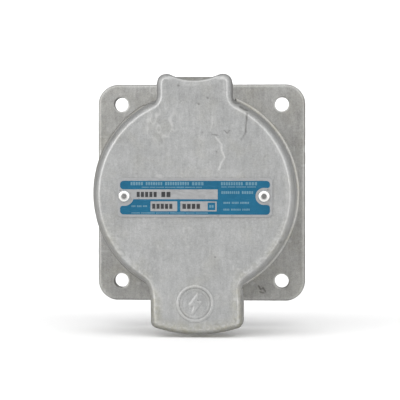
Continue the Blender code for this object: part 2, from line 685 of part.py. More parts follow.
def make_clamp_screw(name, angle):
    """Radial screw, backed out so that the wire hole is clear."""
    x, z = polar(angle)
    out_x, out_z = polar(angle, 1)
    screw = turned(f"{name}_clamp_screw",
                   [(0, 0), (1.8, 0), (2.5, 0.7), (2.5, 6.6), (2.2, 6.9), (0, 6.9)],
                   "zinc_steel", 12, along=(out_x, 0, out_z),
                   at=(x + CLAMP_START * out_x, CLAMP_Y, z + CLAMP_START * out_z))
    cut_driver_slot(screw, f"{name}_clamp_slot", half_length=3.0, bottom=5.4, top=8.0)


def make_contacts():
    for name, piece, angle, radius, tip in POLES:
        make_contact(piece, angle, radius, tip)
        make_terminal(name, angle)
        make_clamp_screw(name, angle)


# ------------------------------------------------------------------- bonding
# side view of the strap, (distance from the sleeve's axis, y)
STRAP_PATH = [(12.2, 1.9), (30.0, 1.9), (30.8, -1.9), (40.6, -1.9),
              (40.6, -0.9), (31.7, -0.9), (30.9, 2.9), (12.2, 2.9)]
STRAP_HALF = 4.6
STRAP_CUT = (-5, 8)             # y range of the holes' cutters


def make_ground_strap():
    """Strap from the ground pin's shoulder to the housing's bonding boss."""
    strap = extruded("ground_strap", STRAP_PATH, -STRAP_HALF, 2 * STRAP_HALF,
                     "tinned_copper", axis="Z")
    face_angle(strap, GROUND_ANGLE - 360)
    cut(strap,
        rod_y("strap_pin_hole", 3.5, polar(GROUND_ANGLE), STRAP_CUT),
        rod_y("strap_screw_hole", 2.2, BOND_PLACE, STRAP_CUT, 12))


def make_bonding_screw():
    x, z = BOND_PLACE
    turned("bonding_washer", [(2.2, -0.6), (4.0, -0.6), (4.0, 0.3), (2.2, 0.3)],
           "zinc_steel", 12, at=(x, 0, z), closed=True)
    slotted_screw("bonding_screw", (x, 0.6, z), (0, 1, 0), head_r=3.8, head_h=2.4,
                  shank_r=1.75, length=9.5, material="green_steel")


# ------------------------------------------------------------------ assembly
def make_empty(name, size, place):
    empty = bpy.data.objects.new(name, None)
    empty.empty_display_size = size * MM
    empty.location = Vector(place) * MM
    return link(empty)


def hang_on_hinge(names):
    """The swinging pieces hang on an empty that sits on the hinge axis."""
    pivot = make_empty("cover_pivot", 10, (0, PIN_Y, PIN_Z))
    for name in names:
        obj = bpy.data.objects[name]
        obj.parent = pivot
        obj.matrix_parent_inverse = Matrix.Translation(-pivot.location)


def set_datum():
    """Everything hangs on the datum, which carries the drawing's y = 0 plane
    to its place behind the plug seat."""
    datum = make_empty("datum", 20, (0, -SEAT_Y, 0))
    for obj in bpy.data.objects:
        if obj.parent is None and obj is not datum:
            obj.parent = datum


def make_materials():
    make_material("cast_aluminium", colour=(0.56, 0.57, 0.56), roughness=0.45, metallic=0.9)
    make_material("cast_aluminium_cover", colour=(0.60, 0.61, 0.61), roughness=0.42,
                  metallic=0.9)
    make_material("black_neoprene", colour=(0.03, 0.03, 0.032), roughness=0.7, metallic=0.0)
    make_material("cover_neoprene", colour=(0.05, 0.05, 0.055), roughness=0.65, metallic=0.0)
    make_material("enamelled_plate", colour=(0.07, 0.30, 0.50), roughness=0.35, metallic=0.3)
    make_material("nickel_steel", colour=(0.80, 0.80, 0.78), roughness=0.2, metallic=1.0)
    make_material("stainless_steel", colour=(0.62, 0.62, 0.63), roughness=0.25, metallic=1.0)
    make_material("zinc_steel", colour=(0.66, 0.67, 0.68), roughness=0.3, metallic=1.0)
    make_material("green_steel", colour=(0.10, 0.40, 0.16), roughness=0.4, metallic=0.6)
    make_material("nickel_brass", colour=(0.74, 0.70, 0.60), roughness=0.25, metallic=1.0)
    make_material("tinned_copper", colour=(0.72, 0.68, 0.62), roughness=0.35, metallic=1.0)
    make_material("red_insulator", colour=(0.33, 0.07, 0.04), roughness=0.5, metallic=0.0)
    make_material("black_insulator", colour=(0.04, 0.04, 0.04), roughness=0.5, metallic=0.0)


def main():
    clear_scene()
    make_materials()
    make_housing()
    make_mounting_gasket()
    make_cover()
    make_cover_gasket()
    make_nameplate()
    make_nameplate_screws()
    make_hinge_pin()
    make_hinge_set_screw()
    make_torsion_spring()
    make_front_insulator()
    make_rear_insulator()
    make_insulator_gasket()
    make_insulator_screws()
    make_contacts()
    make_ground_strap()
    make_bonding_screw()
    hang_on_hinge(("cover", "cover_gasket", "nameplate",
                   "nameplate_screw_left", "nameplate_screw_right"))
    set_datum()


main()
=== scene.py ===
"""A four-pole flanged power connector with a sprung, hinged cover and a nameplate.

The flange stands in the X-Z plane and Z is up.  The cover closes the front, towards -Y, and
turns on a pin along X above the plug well.  The terminals point back, towards +Y.
Lengths are in mm from the mounting face, with the plug well's axis at x = z = 0.
"""
import math
from functools import partialmethod, reduce
from itertools import combinations

import bmesh
import bpy
import numpy as np
from mathutils import Matrix, Vector


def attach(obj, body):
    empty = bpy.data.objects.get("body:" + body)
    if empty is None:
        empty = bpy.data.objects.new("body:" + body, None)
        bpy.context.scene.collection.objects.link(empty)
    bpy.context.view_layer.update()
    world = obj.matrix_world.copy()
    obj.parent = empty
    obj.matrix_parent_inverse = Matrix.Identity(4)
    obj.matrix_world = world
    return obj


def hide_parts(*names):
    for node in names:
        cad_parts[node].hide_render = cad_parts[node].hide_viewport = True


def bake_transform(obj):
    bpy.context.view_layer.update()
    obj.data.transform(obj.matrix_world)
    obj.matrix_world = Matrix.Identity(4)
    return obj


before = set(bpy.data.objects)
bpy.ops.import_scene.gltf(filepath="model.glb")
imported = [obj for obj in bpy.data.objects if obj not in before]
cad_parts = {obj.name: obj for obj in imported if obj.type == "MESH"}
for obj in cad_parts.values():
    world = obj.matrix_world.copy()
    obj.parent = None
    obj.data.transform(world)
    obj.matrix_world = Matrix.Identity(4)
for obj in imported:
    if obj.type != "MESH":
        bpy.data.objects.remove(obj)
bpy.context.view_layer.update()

F = np.float32
MM = 0.001
DATUM = Vector((0.0, 22.4, 0.0)) * MM       # mounting face in the CAD frame

# housing
FLANGE_FRONT, FLANGE_BACK = -8.4, -1.9
RIM_FRONT, RIM_BACK, LIP_FRONT = -60.4, -53.4, -61.8
CORNER_X, CORNER_Z = 49.2, 53.98            # mounting holes
BOLT_R = 35.5                               # insulator screws, on the axes
DIAGONAL = math.sqrt(0.5)
BOND = 36.0 * DIAGONAL                      # bonding screw at x = BOND, z = -BOND
# hinge
PIN_Y, PIN_Z = -56.9, 60.2
PIN_HOLE_R = 3.2
SET_SCREW_X = 8.5
# cover
COVER_FRONT, COVER_INNER, SKIRT_BACK, HOOD_BACK = -70.4, -65.9, -61.4, -52.4
COVER_R = 57.5
EAR_IN, EAR_OUT, EAR_R, SWEEP_R = 14.9, 21.9, 9.2, 9.0
HORN_TOP, HORN_R = 69.4, 5.2                # raised corners above the ears
TAB_SHIFT = 1.2                             # sideways offset of the pull tab
# nameplate
SCREW_X, SCREW_Z = 40.25, -1.0
PLATE_BACK, PLATE_FACE = -70.6, -71.4
# contacts: name, x, z, then the outward direction in x and z
POLE_R = 18.0
LINE_R, GROUND_R = 4.75, 5.55
POLES = []
for name, angle in (("line_1", 135), ("line_2", 45), ("line_3", 225), ("ground", 315)):
    out_x, out_z = math.cos(math.radians(angle)), math.sin(math.radians(angle))
    POLES.append((name, POLE_R * out_x, POLE_R * out_z, out_x, out_z))


# =========================================================== distance fields
# Points are in mm.  A field is negative inside.
def hypot(first, second):
    return np.sqrt(first * first + second * second)


def both(*fields):
    """Sharp intersection."""
    return reduce(np.maximum, fields)


def either(*fields):
    """Sharp union."""
    return reduce(np.minimum, fields)


def join(first, second, fillet):
    """Union with a circular fillet."""
    return (both(either(first, second), fillet)
            - hypot(both(fillet - first, 0), both(fillet - second, 0)))


def meet(first, second, edge):
    """Intersection with its edge rounded to a radius."""
    return (either(both(first, second), -edge)
            + hypot(both(edge + first, 0), both(edge + second, 0)))


def cut(body, tool, edge):
    return meet(body, -tool, edge)


def unit(value):
    return np.clip(value, 0, 1)


def mix(start, end, share):
    return start * (1 - share) + end * share


def slab(value, low, high):
    return both(low - value, value - high)


def rect_field(x, z, half_x, half_z, corner):
    over_x, over_z = np.abs(x) - (half_x - corner), np.abs(z) - (half_z - corner)
    return hypot(both(over_x, 0), both(over_z, 0)) + either(both(over_x, over_z), 0) - corner


def box_field(x, y, z, low, high, corner):
    over = [np.abs(value - (start + end) / 2) - ((end - start) / 2 - corner)
            for value, start, end in zip((x, y, z), low, high)]
    outside = np.sqrt(sum(both(value, 0) ** 2 for value in over))
    return outside + either(both(*over), 0) - corner


def from_corners(x, z):
    """Distance to the nearest mounting hole's axis."""
    return hypot(np.abs(x) - CORNER_X, np.abs(z) - CORNER_Z)


def from_bolts(x, z):
    """Distance to the nearest insulator screw's axis."""
    return either(hypot(np.abs(x) - BOLT_R, z), hypot(x, np.abs(z) - BOLT_R))


def from_bond(x, z):
    return hypot(x - BOND, z + BOND)


def from_pin(y, z):
    return hypot(y - PIN_Y, z - PIN_Z)


def bond_axes(x, z):
    """Coordinates along and across the line from the centre to the bonding screw."""
    return (x - z) * DIAGONAL, (x + z) * DIAGONAL


def thread(across, up, along, pitch):
    """Helix round an axis, from 0 to 0.5."""
    turn = np.arctan2(up, across)
    return np.abs(((along / pitch + turn / (2 * math.pi)) % 1.0) - 0.5)


LATTICE = np.random.RandomState(7).rand(32, 32, 32).astype(F)


def noise(x, y, z, cell, seed=0):
    """Smooth value noise in -1..1; one lattice cell is cell mm."""
    lows, eases = [], []
    for value, offset in ((x, 3.7), (y, 11.3), (z, 5.9)):
        value = value / cell + offset * (seed + 1)
        whole = np.floor(value)
        part = value - whole
        lows.append(whole.astype(np.int64) & 31)
        eases.append((part * part * (3 - 2 * part)).astype(F))
    i, j, k = lows
    next_i, next_j, next_k = [(low + 1) & 31 for low in lows]

    def along_x(row, layer):
        return mix(LATTICE[i, row, layer], LATTICE[next_i, row, layer], eases[0])

    start = mix(along_x(j, k), along_x(next_j, k), eases[1])
    end = mix(along_x(j, next_k), along_x(next_j, next_k), eases[1])
    return 2 * mix(start, end, eases[2]) - 1


def flat_noise(x, z, cell, seed):
    return noise(x, 0 * x, z, cell, seed)


def near_line(x, z, points, half):
    """1 on a polyline in the x, z plane, fading to 0 at twice half."""
    best = np.inf
    for (x0, z0), (x1, z1) in zip(points, points[1:]):
        run, rise = x1 - x0, z1 - z0
        share = unit(((x - x0) * run + (z - z0) * rise) / (run * run + rise * rise))
        best = either(best, hypot(x - x0 - share * run, z - z0 - share * rise))
    return unit(2.0 - best / half)


def drawn(x, z, lines):
    """Strongest of several (amount, half width, points) lines."""
    return both(*(amount * near_line(x, z, points, half) for amount, half, points in lines))


def near_spot(x, z, centre_x, centre_z, radius):
    return np.exp(-((x - centre_x) ** 2 + (z - centre_z) ** 2) / radius ** 2)


# ============================================================== mesh builders
def surface_nets(field, low, high, step):
    """Closed quad mesh of the field's zero surface."""
    axes = [np.arange(start - 2.5 * step, end + 2.5 * step, step, dtype=F)
            for start, end in zip(low, high)]
    size = [len(axis) for axis in axes]
    values = np.empty(size, F)
    chunk = max(1, int(2_500_000 / (size[1] * size[2])))
    for start in range(0, size[0], chunk):
        span = slice(start, start + chunk)
        values[span] = field(axes[0][span, None, None], axes[1][None, :, None],
                             axes[2][None, None, :])
    inside = values < 0

    # one vertex in each cell that the surface crosses
    cells = [length - 1 for length in size]
    corners = [(i, j, k) for i in (0, 1) for j in (0, 1) for k in (0, 1)]
    count = np.zeros(cells, np.uint8)
    for i, j, k in corners:
        count += inside[i:i + cells[0], j:j + cells[1], k:k + cells[2]]
    crossed = (count > 0) & (count < 8)
    cell = np.argwhere(crossed)
    index = np.full(cells, -1, np.int32)
    index[crossed] = np.arange(len(cell), dtype=np.int32)
    at_corner = np.stack([values[cell[:, 0] + i, cell[:, 1] + j, cell[:, 2] + k]
                          for i, j, k in corners], 1)
    total = np.zeros((len(cell), 3), F)
    hits = np.zeros(len(cell), F)
    for p, q in combinations(range(8), 2):
        start, end = corners[p], corners[q]
        if sum(abs(i - j) for i, j in zip(start, end)) != 1:
            continue
        first, second = at_corner[:, p], at_corner[:, q]
        hit = (first < 0) != (second < 0)
        share = np.where(hit, first / np.where(hit, first - second, 1), 0)
        for axis in range(3):
            offset = start[axis] + share * (end[axis] - start[axis])
            total[:, axis] += np.where(hit, offset, 0)
        hits += hit
    offset = total / hits[:, None]
    points = np.stack([axes[axis][0] + (cell[:, axis] + offset[:, axis]) * step
                       for axis in range(3)], 1)

    # one quad round each grid edge that changes sign
    quads = []
    for axis in range(3):
        side, up = (axis + 1) % 3, (axis + 2) % 3
        near, far = [slice(None)] * 3, [slice(None)] * 3
        near[axis], far[axis] = slice(0, size[axis] - 1), slice(1, size[axis])
        near, far = tuple(near), tuple(far)
        edge = np.argwhere(inside[near] != inside[far])
        edge = edge[(edge[:, side] > 0) & (edge[:, up] > 0)
                    & (edge[:, side] < size[side] - 1) & (edge[:, up] < size[up] - 1)]
        starts_inside = inside[near][edge[:, 0], edge[:, 1], edge[:, 2]]
        ring = []
        for back_side, back_up in ((1, 1), (0, 1), (0, 0), (1, 0)):
            place = edge.copy()
            place[:, side] -= back_side
            place[:, up] -= back_up
            ring.append(index[place[:, 0], place[:, 1], place[:, 2]])
        ring = np.stack(ring, 1)
        ring[~starts_inside] = ring[~starts_inside][:, ::-1]
        quads.append(ring)
    return points.astype(F), np.concatenate(quads)


def gradient(field, points, reach):
    slope = np.empty_like(points)
    for axis in range(3):
        ahead, behind = points.copy(), points.copy()
        ahead[:, axis] += reach
        behind[:, axis] -= reach
        slope[:, axis] = (field(*ahead.T) - field(*behind.T)) / (2 * reach)
    return slope


def link_object(name, mesh):
    obj = bpy.data.objects.new(name, mesh)
    bpy.context.scene.collection.objects.link(obj)
    return obj


def bmesh_object(name, shape, sharp=None):
    """Object from a bmesh, smooth up to the sharp angle (degrees) if one is given."""
    mesh = bpy.data.meshes.new(name)
    shape.to_mesh(mesh)
    shape.free()
    if sharp:
        mesh.shade_smooth()
        mesh.set_sharp_from_angle(angle=math.radians(sharp))
    return link_object(name, mesh)


def quad_object(name, points, quads):
    mesh = bpy.data.meshes.new(name)
    mesh.vertices.add(len(points))
    mesh.vertices.foreach_set("co", (points * MM).astype(F).ravel())
    mesh.loops.add(quads.size)
    mesh.loops.foreach_set("vertex_index", quads.astype(np.int32).ravel())
    mesh.polygons.add(len(quads))
    mesh.polygons.foreach_set("loop_start", np.arange(0, quads.size, 4, dtype=np.int32))
    mesh.polygons.foreach_set("loop_total", np.full(len(quads), 4, np.int32))
    mesh.update(calc_edges=True)
    mesh.shade_smooth()
    return link_object(name, mesh)


def cast(name, field, low, high, step, skin=None, passes=2, marks=None):
    """Object on a field's zero surface: skin lifts its points, marks paint attributes."""
    points, quads = surface_nets(field, low, high, step)
    for _ in range(passes):
        slope = gradient(field, points, 0.04)
        length = both(np.linalg.norm(slope, axis=1), 0.3)
        move = np.clip(field(*points.T) / length, -0.6 * step, 0.6 * step)
        points = points - slope / length[:, None] * move[:, None]
    if skin:
        slope = gradient(field, points, 0.3)
        slope /= both(np.linalg.norm(slope, axis=1), 0.3)[:, None]
        points = points + slope * skin(*points.T)[:, None]
    obj = quad_object(name, points, quads)
    if marks:
        for key, value in marks(*points.T).items():
            layer = obj.data.attributes.new(key, "FLOAT", "POINT")
            layer.data.foreach_set("value", unit(value).astype(F))
    return obj


def cast_skin(amount):
    """Cast surface roughness, fainter inside the plug well."""
    def skin(x, y, z):
        inside = (hypot(x, z) < 45.9) & (y > -61.5)
        wave = (0.5 * noise(x, y, z, 7.0) + 0.35 * noise(x, y, z, 2.6, 1)
                + 0.25 * noise(x, y, z, 1.2, 2))
        return np.where(inside, 0.15, 1.0) * amount * wave
    return skin


def aimed(at, along):
    """Placement at a point in mm with local Z turned to a direction."""
    turn = Vector(along).to_track_quat("Z", "Y").to_matrix().to_4x4()
    return Matrix.Translation(Vector(at) * MM) @ turn


def lathe(name, profile, segments=64, at=(0, 0, 0), along=(0, 1, 0), closed=False):
    """Turned piece; profile is (radius, height) in mm."""
    angles = np.arange(segments) * 2 * math.pi / segments
    points, rings = [], []
    for radius, height in profile:
        if radius < 1e-6:
            rings.append([len(points)] * segments)
            points.append((0, 0, height))
        else:
            rings.append(range(len(points), len(points) + segments))
            points += [(radius * math.cos(a), radius * math.sin(a), height) for a in angles]
    faces = []
    for low, high in zip(rings, rings[1:] + (rings[:1] if closed else [])):
        for i in range(segments):
            j = (i + 1) % segments
            # a ring on the axis is one point, so its quads become triangles
            faces.append(tuple(dict.fromkeys((low[i], low[j], high[j], high[i]))))
    mesh = bpy.data.meshes.new(name)
    mesh.from_pydata([Vector(point) * MM for point in points], [], faces)
    shape = bmesh.new()
    shape.from_mesh(mesh)
    bpy.data.meshes.remove(mesh)
    bmesh.ops.recalc_face_normals(shape, faces=shape.faces)
    obj = bmesh_object(name, shape, sharp=40)
    obj.matrix_world = aimed(at, along)
    return obj


def rounded(profile, radius, steps, closed=False):
    """The (radius, height) profile with its corners rounded."""
    corners = [Vector(point) for point in profile]
    out = []
    for i, corner in enumerate(corners):
        if not closed and i in (0, len(corners) - 1):
            out.append(tuple(corner))
            continue
        back, ahead = corners[i - 1] - corner, corners[(i + 1) % len(corners)] - corner
        size = min(radius, 0.45 * back.length, 0.45 * ahead.length)
        start, end = corner + back.normalized() * size, corner + ahead.normalized() * size
        for k in range(steps + 1):
            t = k / steps
            out.append(tuple((1 - t) ** 2 * start + 2 * t * (1 - t) * corner + t * t * end))
    return out


def plate(name, outline, y_start, y_end, bevel=0.0, holes=()):
    """Flat piece from an (x, z) outline, between two y planes."""
    shape = bmesh.new()
    edges = []
    for loop in (outline, *holes):
        verts = [shape.verts.new((x * MM, y_start * MM, z * MM)) for x, z in loop]
        edges += [shape.edges.new((verts[i], verts[(i + 1) % len(verts)]))
                  for i in range(len(verts))]
    if holes:
        bmesh.ops.triangle_fill(shape, use_beauty=True, use_dissolve=False, edges=edges)
    else:
        bmesh.ops.contextual_create(shape, geom=edges)
    out = bmesh.ops.extrude_face_region(shape, geom=list(shape.faces))
    moved = [item for item in out["geom"] if isinstance(item, bmesh.types.BMVert)]
    bmesh.ops.translate(shape, verts=moved, vec=(0, (y_end - y_start) * MM, 0))
    bmesh.ops.recalc_face_normals(shape, faces=shape.faces)
    obj = bmesh_object(name, shape, sharp=35)
    if bevel:
        modifier = obj.modifiers.new("edge", "BEVEL")
        modifier.width = bevel * MM
        modifier.segments = 3
        modifier.limit_method = "ANGLE"
        modifier.angle_limit = math.radians(50)
    return obj


def arc(centre_x, centre_z, radius, start, end, count=12):
    """Points along an arc between two angles in degrees."""
    angles = [math.radians(start + (end - start) * i / count) for i in range(count + 1)]
    return [(centre_x + radius * math.cos(a), centre_z + radius * math.sin(a)) for a in angles]


def rect_outline(left, low, right, high, corner, count=6):
    centres = ((right - corner, high - corner), (left + corner, high - corner),
               (left + corner, low + corner), (right - corner, low + corner))
    return [point for k, centre in enumerate(centres)
            for point in arc(*centre, corner, 90 * k, 90 * k + 90, count)]


# ================================================================= materials
class Graph:
    """Short way to write a node tree; values are numbers, colour tuples or sockets."""

    def __init__(self, tree):
        self.tree = tree

    def add(self, kind, **props):
        node = self.tree.nodes.new("ShaderNode" + kind)
        for key, value in props.items():
            setattr(node, key, value)
        return node

    def feed(self, socket, value):
        if isinstance(value, bpy.types.NodeSocket):
            self.tree.links.new(value, socket)
        else:
            socket.default_value = (*value, 1) if isinstance(value, tuple) else value

    def ramp(self, value, *stops):
        """Colour ramp of (position, colour or grey) stops."""
        node = self.add("ValToRGB")
        elements = node.color_ramp.elements
        while len(elements) < len(stops):
            elements.new(0.5)
        for element, (position, colour) in zip(elements, stops):
            element.position = position
            element.color = (*colour, 1) if isinstance(colour, tuple) else (colour,) * 3 + (1,)
        self.feed(node.inputs[0], value)
        return node.outputs[0]

    def mix(self, factor, first, second, blend="MIX"):
        node = self.add("Mix", data_type="RGBA", blend_type=blend)
        for k, value in ((0, factor), (6, first), (7, second)):
            self.feed(node.inputs[k], value)
        return node.outputs[2]

    def tint(self, colour, by):
        return self.mix(1.0, colour, by, "MULTIPLY")

    def calc(self, operation, first, second):
        node = self.add("Math", operation=operation)
        self.feed(node.inputs[0], first)
        self.feed(node.inputs[1], second)
        return node.outputs[0]

    times = partialmethod(calc, "MULTIPLY")
    plus = partialmethod(calc, "ADD")
    minus = partialmethod(calc, "SUBTRACT")

    def remap(self, value, source, target=(0.0, 1.0)):
        """The source range stretched onto the target range."""
        node = self.add("MapRange")
        for socket, item in zip(node.inputs, (value, *source, *target)):
            self.feed(socket, item)
        return node.outputs[0]


class Nodes(Graph):
    """A node material whose lengths are in mm."""

    def __init__(self, name):
        self.material = bpy.data.materials.new(name)
        self.material.use_nodes = True
        super().__init__(self.material.node_tree)
        self.bsdf = self.tree.nodes["Principled BSDF"]
        coord = self.add("TexCoord")
        scale = self.add("VectorMath", operation="SCALE")
        scale.inputs["Scale"].default_value = 1 / MM
        self.feed(scale.inputs[0], coord.outputs["Object"])
        self.place = scale.outputs[0]

    def noise(self, scale, detail=3, rough=0.6, stretch=None, distort=0.0):
        node = self.add("TexNoise")
        for key, value in (("Scale", scale), ("Detail", detail), ("Roughness", rough),
                           ("Distortion", distort)):
            node.inputs[key].default_value = value
        source = self.place
        if stretch:
            mapping = self.add("Mapping")
            mapping.inputs["Scale"].default_value = stretch
            self.feed(mapping.inputs["Vector"], source)
            source = mapping.outputs[0]
        self.feed(node.inputs["Vector"], source)
        return node.outputs[0]

    def voronoi(self, scale):
        node = self.add("TexVoronoi")
        node.inputs["Scale"].default_value = scale
        self.feed(node.inputs["Vector"], self.place)
        return node.outputs["Distance"]

    def pointiness(self):
        return self.add("NewGeometry").outputs["Pointiness"]

    def painted(self, key):
        return self.add("Attribute", attribute_name=key).outputs["Fac"]

    def bump(self, height, strength, distance):
        node = self.add("Bump")
        node.inputs["Strength"].default_value = strength
        node.inputs["Distance"].default_value = distance * MM
        self.feed(node.inputs["Height"], height)
        return node.outputs[0]

    def finish(self, colour, metallic, rough, normal=None):
        for name, value in (("Base Color", colour), ("Metallic", metallic),
                            ("Roughness", rough), ("Normal", normal)):
            if value is not None:
                self.feed(self.bsdf.inputs[name], value)
        return self.material


def brighter(colour, gain, lift=0.0):
    return tuple(min(1.0, channel * gain + lift) for channel in colour)


def cast_metal(name, low, high, dirt, rough, contrast):
    n = Nodes(name)
    blotch = n.noise(scale=0.045, detail=4, rough=0.55, distort=0.5)
    cloud = n.noise(scale=0.20)
    grain = n.noise(scale=1.5)
    fine = n.noise(scale=5.0, detail=2)
    streak = n.noise(scale=0.5, rough=0.7, stretch=(1.0, 1.0, 0.16))
    colour = n.ramp(blotch, (0.30, low), (0.72, high))
    # texture, then the two ramp positions and the brightness at each
    for value, start, end, dark, light in ((cloud, 0.34, 0.66, 0.965, 1.03),
                                           (grain, 0.30, 0.72, 0.86, 1.06),
                                           (fine, 0.32, 0.68, 0.91, 1.07),
                                           (streak, 0.36, 0.62, 0.95, 1.03)):
        dark, light = 1 - (1 - dark) * contrast, 1 + (light - 1) * contrast
        colour = n.tint(colour, n.ramp(value, (start, dark), (end, light)))

    # yellowish film where hands and weather reach
    film = n.remap(n.noise(scale=0.07), (0.50, 0.66), (0.0, 0.35))
    stain = n.painted("stain")
    patchy = n.times(stain, n.remap(n.noise(scale=0.45, rough=0.65), (0.36, 0.60), (0.25, 1.0)))
    colour = n.mix(film, colour, n.tint(colour, (0.97, 0.95, 0.88)))
    colour = n.mix(patchy, colour, n.tint(colour, (0.89, 0.86, 0.72)))
    # cavities hold grime, edges are polished by tumbling and handling
    point = n.pointiness()
    worn = n.remap(point, (0.503, 0.55))
    worn = n.times(worn, n.remap(grain, (0.25, 0.55), (0.55, 1.0)))
    hollow = n.remap(point, (0.44, 0.495), (1.0, 0.0))
    colour = n.mix(n.times(hollow, dirt), colour, (0.10, 0.097, 0.09))
    colour = n.mix(n.times(worn, 0.35), colour, (0.68, 0.675, 0.65))
    # scattered dark pits
    pit = n.remap(n.voronoi(scale=0.42), (0.0, 0.13), (1.0, 0.0))
    pit = n.times(pit, n.remap(n.noise(scale=0.35, detail=1, rough=0.55), (0.58, 0.66)))
    colour = n.mix(n.times(pit, 0.6), colour, (0.09, 0.09, 0.085))
    # painted marks: dark scratches and pits, with painted shade on the cover's skirt side, the
    # housing rim's outer edge and the flange's edges; light scuffs, with painted light low on
    # the cover's skirt side and on the pull tab
    colour = n.mix(n.times(n.painted("dark_mark"), 0.75), colour, (0.085, 0.082, 0.075))
    colour = n.mix(n.times(n.painted("light_mark"), 0.6), colour, (0.66, 0.66, 0.65))
    height = n.plus(n.times(grain, 0.7), n.times(fine, 0.35))
    height = n.minus(height, n.times(pit, 0.9))
    normal = n.bump(height, strength=0.45, distance=0.10)
    roughness = n.minus(n.remap(grain, (0.3, 0.7), rough), n.times(worn, 0.10))
    return n.finish(colour, 0.80, roughness, normal)


def turned_metal(name, colour, rough, tarnish, amount, metallic=1.0):
    n = Nodes(name)
    blotch = n.noise(scale=0.6, detail=4, rough=0.65)
    fine = n.noise(scale=3.0, detail=2)
    rings = n.noise(scale=9.0, detail=2, rough=0.5, stretch=(0.04, 1.0, 0.04))
    base = n.mix(n.remap(blotch, (0.45, 0.75), (0.0, amount)), colour, tarnish)
    base = n.mix(n.remap(fine, (0.35, 0.7), (0.0, 0.25)), base, brighter(colour, 1.25))
    roughness = n.remap(blotch, (0.3, 0.7), (rough * 0.8, rough * 1.7))
    normal = n.bump(n.plus(rings, n.times(fine, 0.5)), strength=0.25, distance=0.03)
    return n.finish(base, metallic, roughness, normal)


def moulded(name, colour, light, rough):
    n = Nodes(name)
    cloud = n.noise(scale=0.18, detail=4)
    grain = n.noise(scale=3.2)
    base = n.mix(n.remap(cloud, (0.3, 0.7)), colour, light)
    base = n.mix(n.remap(grain, (0.55, 0.75), (0.0, 0.3)), base, brighter(light, 1.6, 0.01))
    edge = n.remap(n.pointiness(), (0.51, 0.58), (0.0, 0.5))
    base = n.mix(edge, base, brighter(light, 1.7, 0.03))
    roughness = n.remap(cloud, (0.3, 0.7), (rough - 0.08, rough + 0.12))
    return n.finish(base, 0.0, roughness, n.bump(grain, strength=0.3, distance=0.04))


def rubber(name):
    n = Nodes(name)
    cloud = n.noise(scale=0.25, detail=4)
    grain = n.noise(scale=2.4, rough=0.7)
    base = n.ramp(cloud, (0.3, (0.018, 0.018, 0.02)), (0.7, (0.045, 0.045, 0.047)))
    dust = n.remap(grain, (0.58, 0.74), (0.0, 0.35))
    base = n.mix(dust, base, (0.16, 0.155, 0.15))
    roughness = n.remap(grain, (0.3, 0.7), (0.62, 0.86))
    return n.finish(base, 0.0, roughness, n.bump(grain, strength=0.5, distance=0.08))


def enamel(name, colour, dark, rough, metallic):
    n = Nodes(name)
    cloud = n.noise(scale=0.12, detail=4)
    fine = n.noise(scale=2.2, rough=0.7)
    scratch = n.noise(scale=1.6, detail=2, rough=0.8, stretch=(0.08, 1.0, 1.8))
    base = n.mix(n.remap(cloud, (0.3, 0.7)), dark, colour)
    base = n.mix(n.remap(scratch, (0.62, 0.72), (0.0, 0.35)), base, brighter(colour, 1.5, 0.12))
    base = n.mix(n.remap(fine, (0.68, 0.8), (0.0, 0.5)), base, (0.30, 0.36, 0.42))
    roughness = n.remap(fine, (0.3, 0.7), (rough - 0.06, rough + 0.14))
    normal = n.bump(n.plus(fine, scratch), strength=0.22, distance=0.025)
    return n.finish(base, metallic, roughness, normal)


MATERIALS = {
    "cast_body": cast_metal("cast aluminium body", low=(0.41, 0.407, 0.396),
                            high=(0.50, 0.498, 0.486), dirt=0.8, rough=(0.46, 0.62),
                            contrast=1.8),
    "cast_cover": cast_metal("cast aluminium cover", low=(0.438, 0.442, 0.440),
                             high=(0.508, 0.512, 0.510), dirt=0.7, rough=(0.42, 0.56),
                             contrast=1.35),
    "plate_metal": turned_metal("bare nameplate metal", (0.47, 0.475, 0.48), rough=0.34,
                                metallic=0.9, tarnish=(0.36, 0.37, 0.38), amount=0.4),
    "blue": enamel("blue enamel", (0.009, 0.136, 0.250), dark=(0.006, 0.110, 0.208),
                   rough=0.36, metallic=0.45),
    "pale_ink": enamel("pale print", (0.13, 0.26, 0.34), dark=(0.08, 0.20, 0.28),
                       rough=0.4, metallic=0.2),
    "black_ink": enamel("black print", (0.035, 0.037, 0.04), dark=(0.015, 0.016, 0.018),
                        rough=0.45, metallic=0.0),
    "nickel": turned_metal("bright nickel", (0.72, 0.72, 0.705), rough=0.16,
                           tarnish=(0.5, 0.49, 0.46), amount=0.2),
    "stainless": turned_metal("stainless steel", (0.62, 0.62, 0.63), rough=0.26,
                              tarnish=(0.38, 0.37, 0.35), amount=0.3),
    "zinc": turned_metal("zinc plate", (0.66, 0.67, 0.69), rough=0.32,
                         tarnish=(0.50, 0.49, 0.42), amount=0.45),
    "green": turned_metal("green passivated steel", (0.09, 0.36, 0.13), rough=0.38,
                          metallic=0.75, tarnish=(0.05, 0.20, 0.07), amount=0.6),
    "contact": turned_metal("nickelled brass", (0.76, 0.69, 0.53), rough=0.33,
                            metallic=0.72, tarnish=(0.62, 0.50, 0.30), amount=0.45),
    "tin": turned_metal("tinned copper", (0.70, 0.67, 0.62), rough=0.36,
                        tarnish=(0.50, 0.40, 0.32), amount=0.45),
    "red_moulding": moulded("red-brown moulding", (0.20, 0.035, 0.02),
                            light=(0.30, 0.06, 0.035), rough=0.46),
    "black_moulding": moulded("black moulding", (0.018, 0.018, 0.019),
                              light=(0.04, 0.04, 0.042), rough=0.44),
    "rubber": rubber("neoprene"),
}


def dress(obj, material, slot, node, body="housing"):
    obj.data.materials.clear()
    obj.data.materials.append(MATERIALS[material])
    obj.matrix_world = Matrix.Translation(DATUM) @ obj.matrix_world
    if body:
        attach(obj, body)
    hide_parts(node)


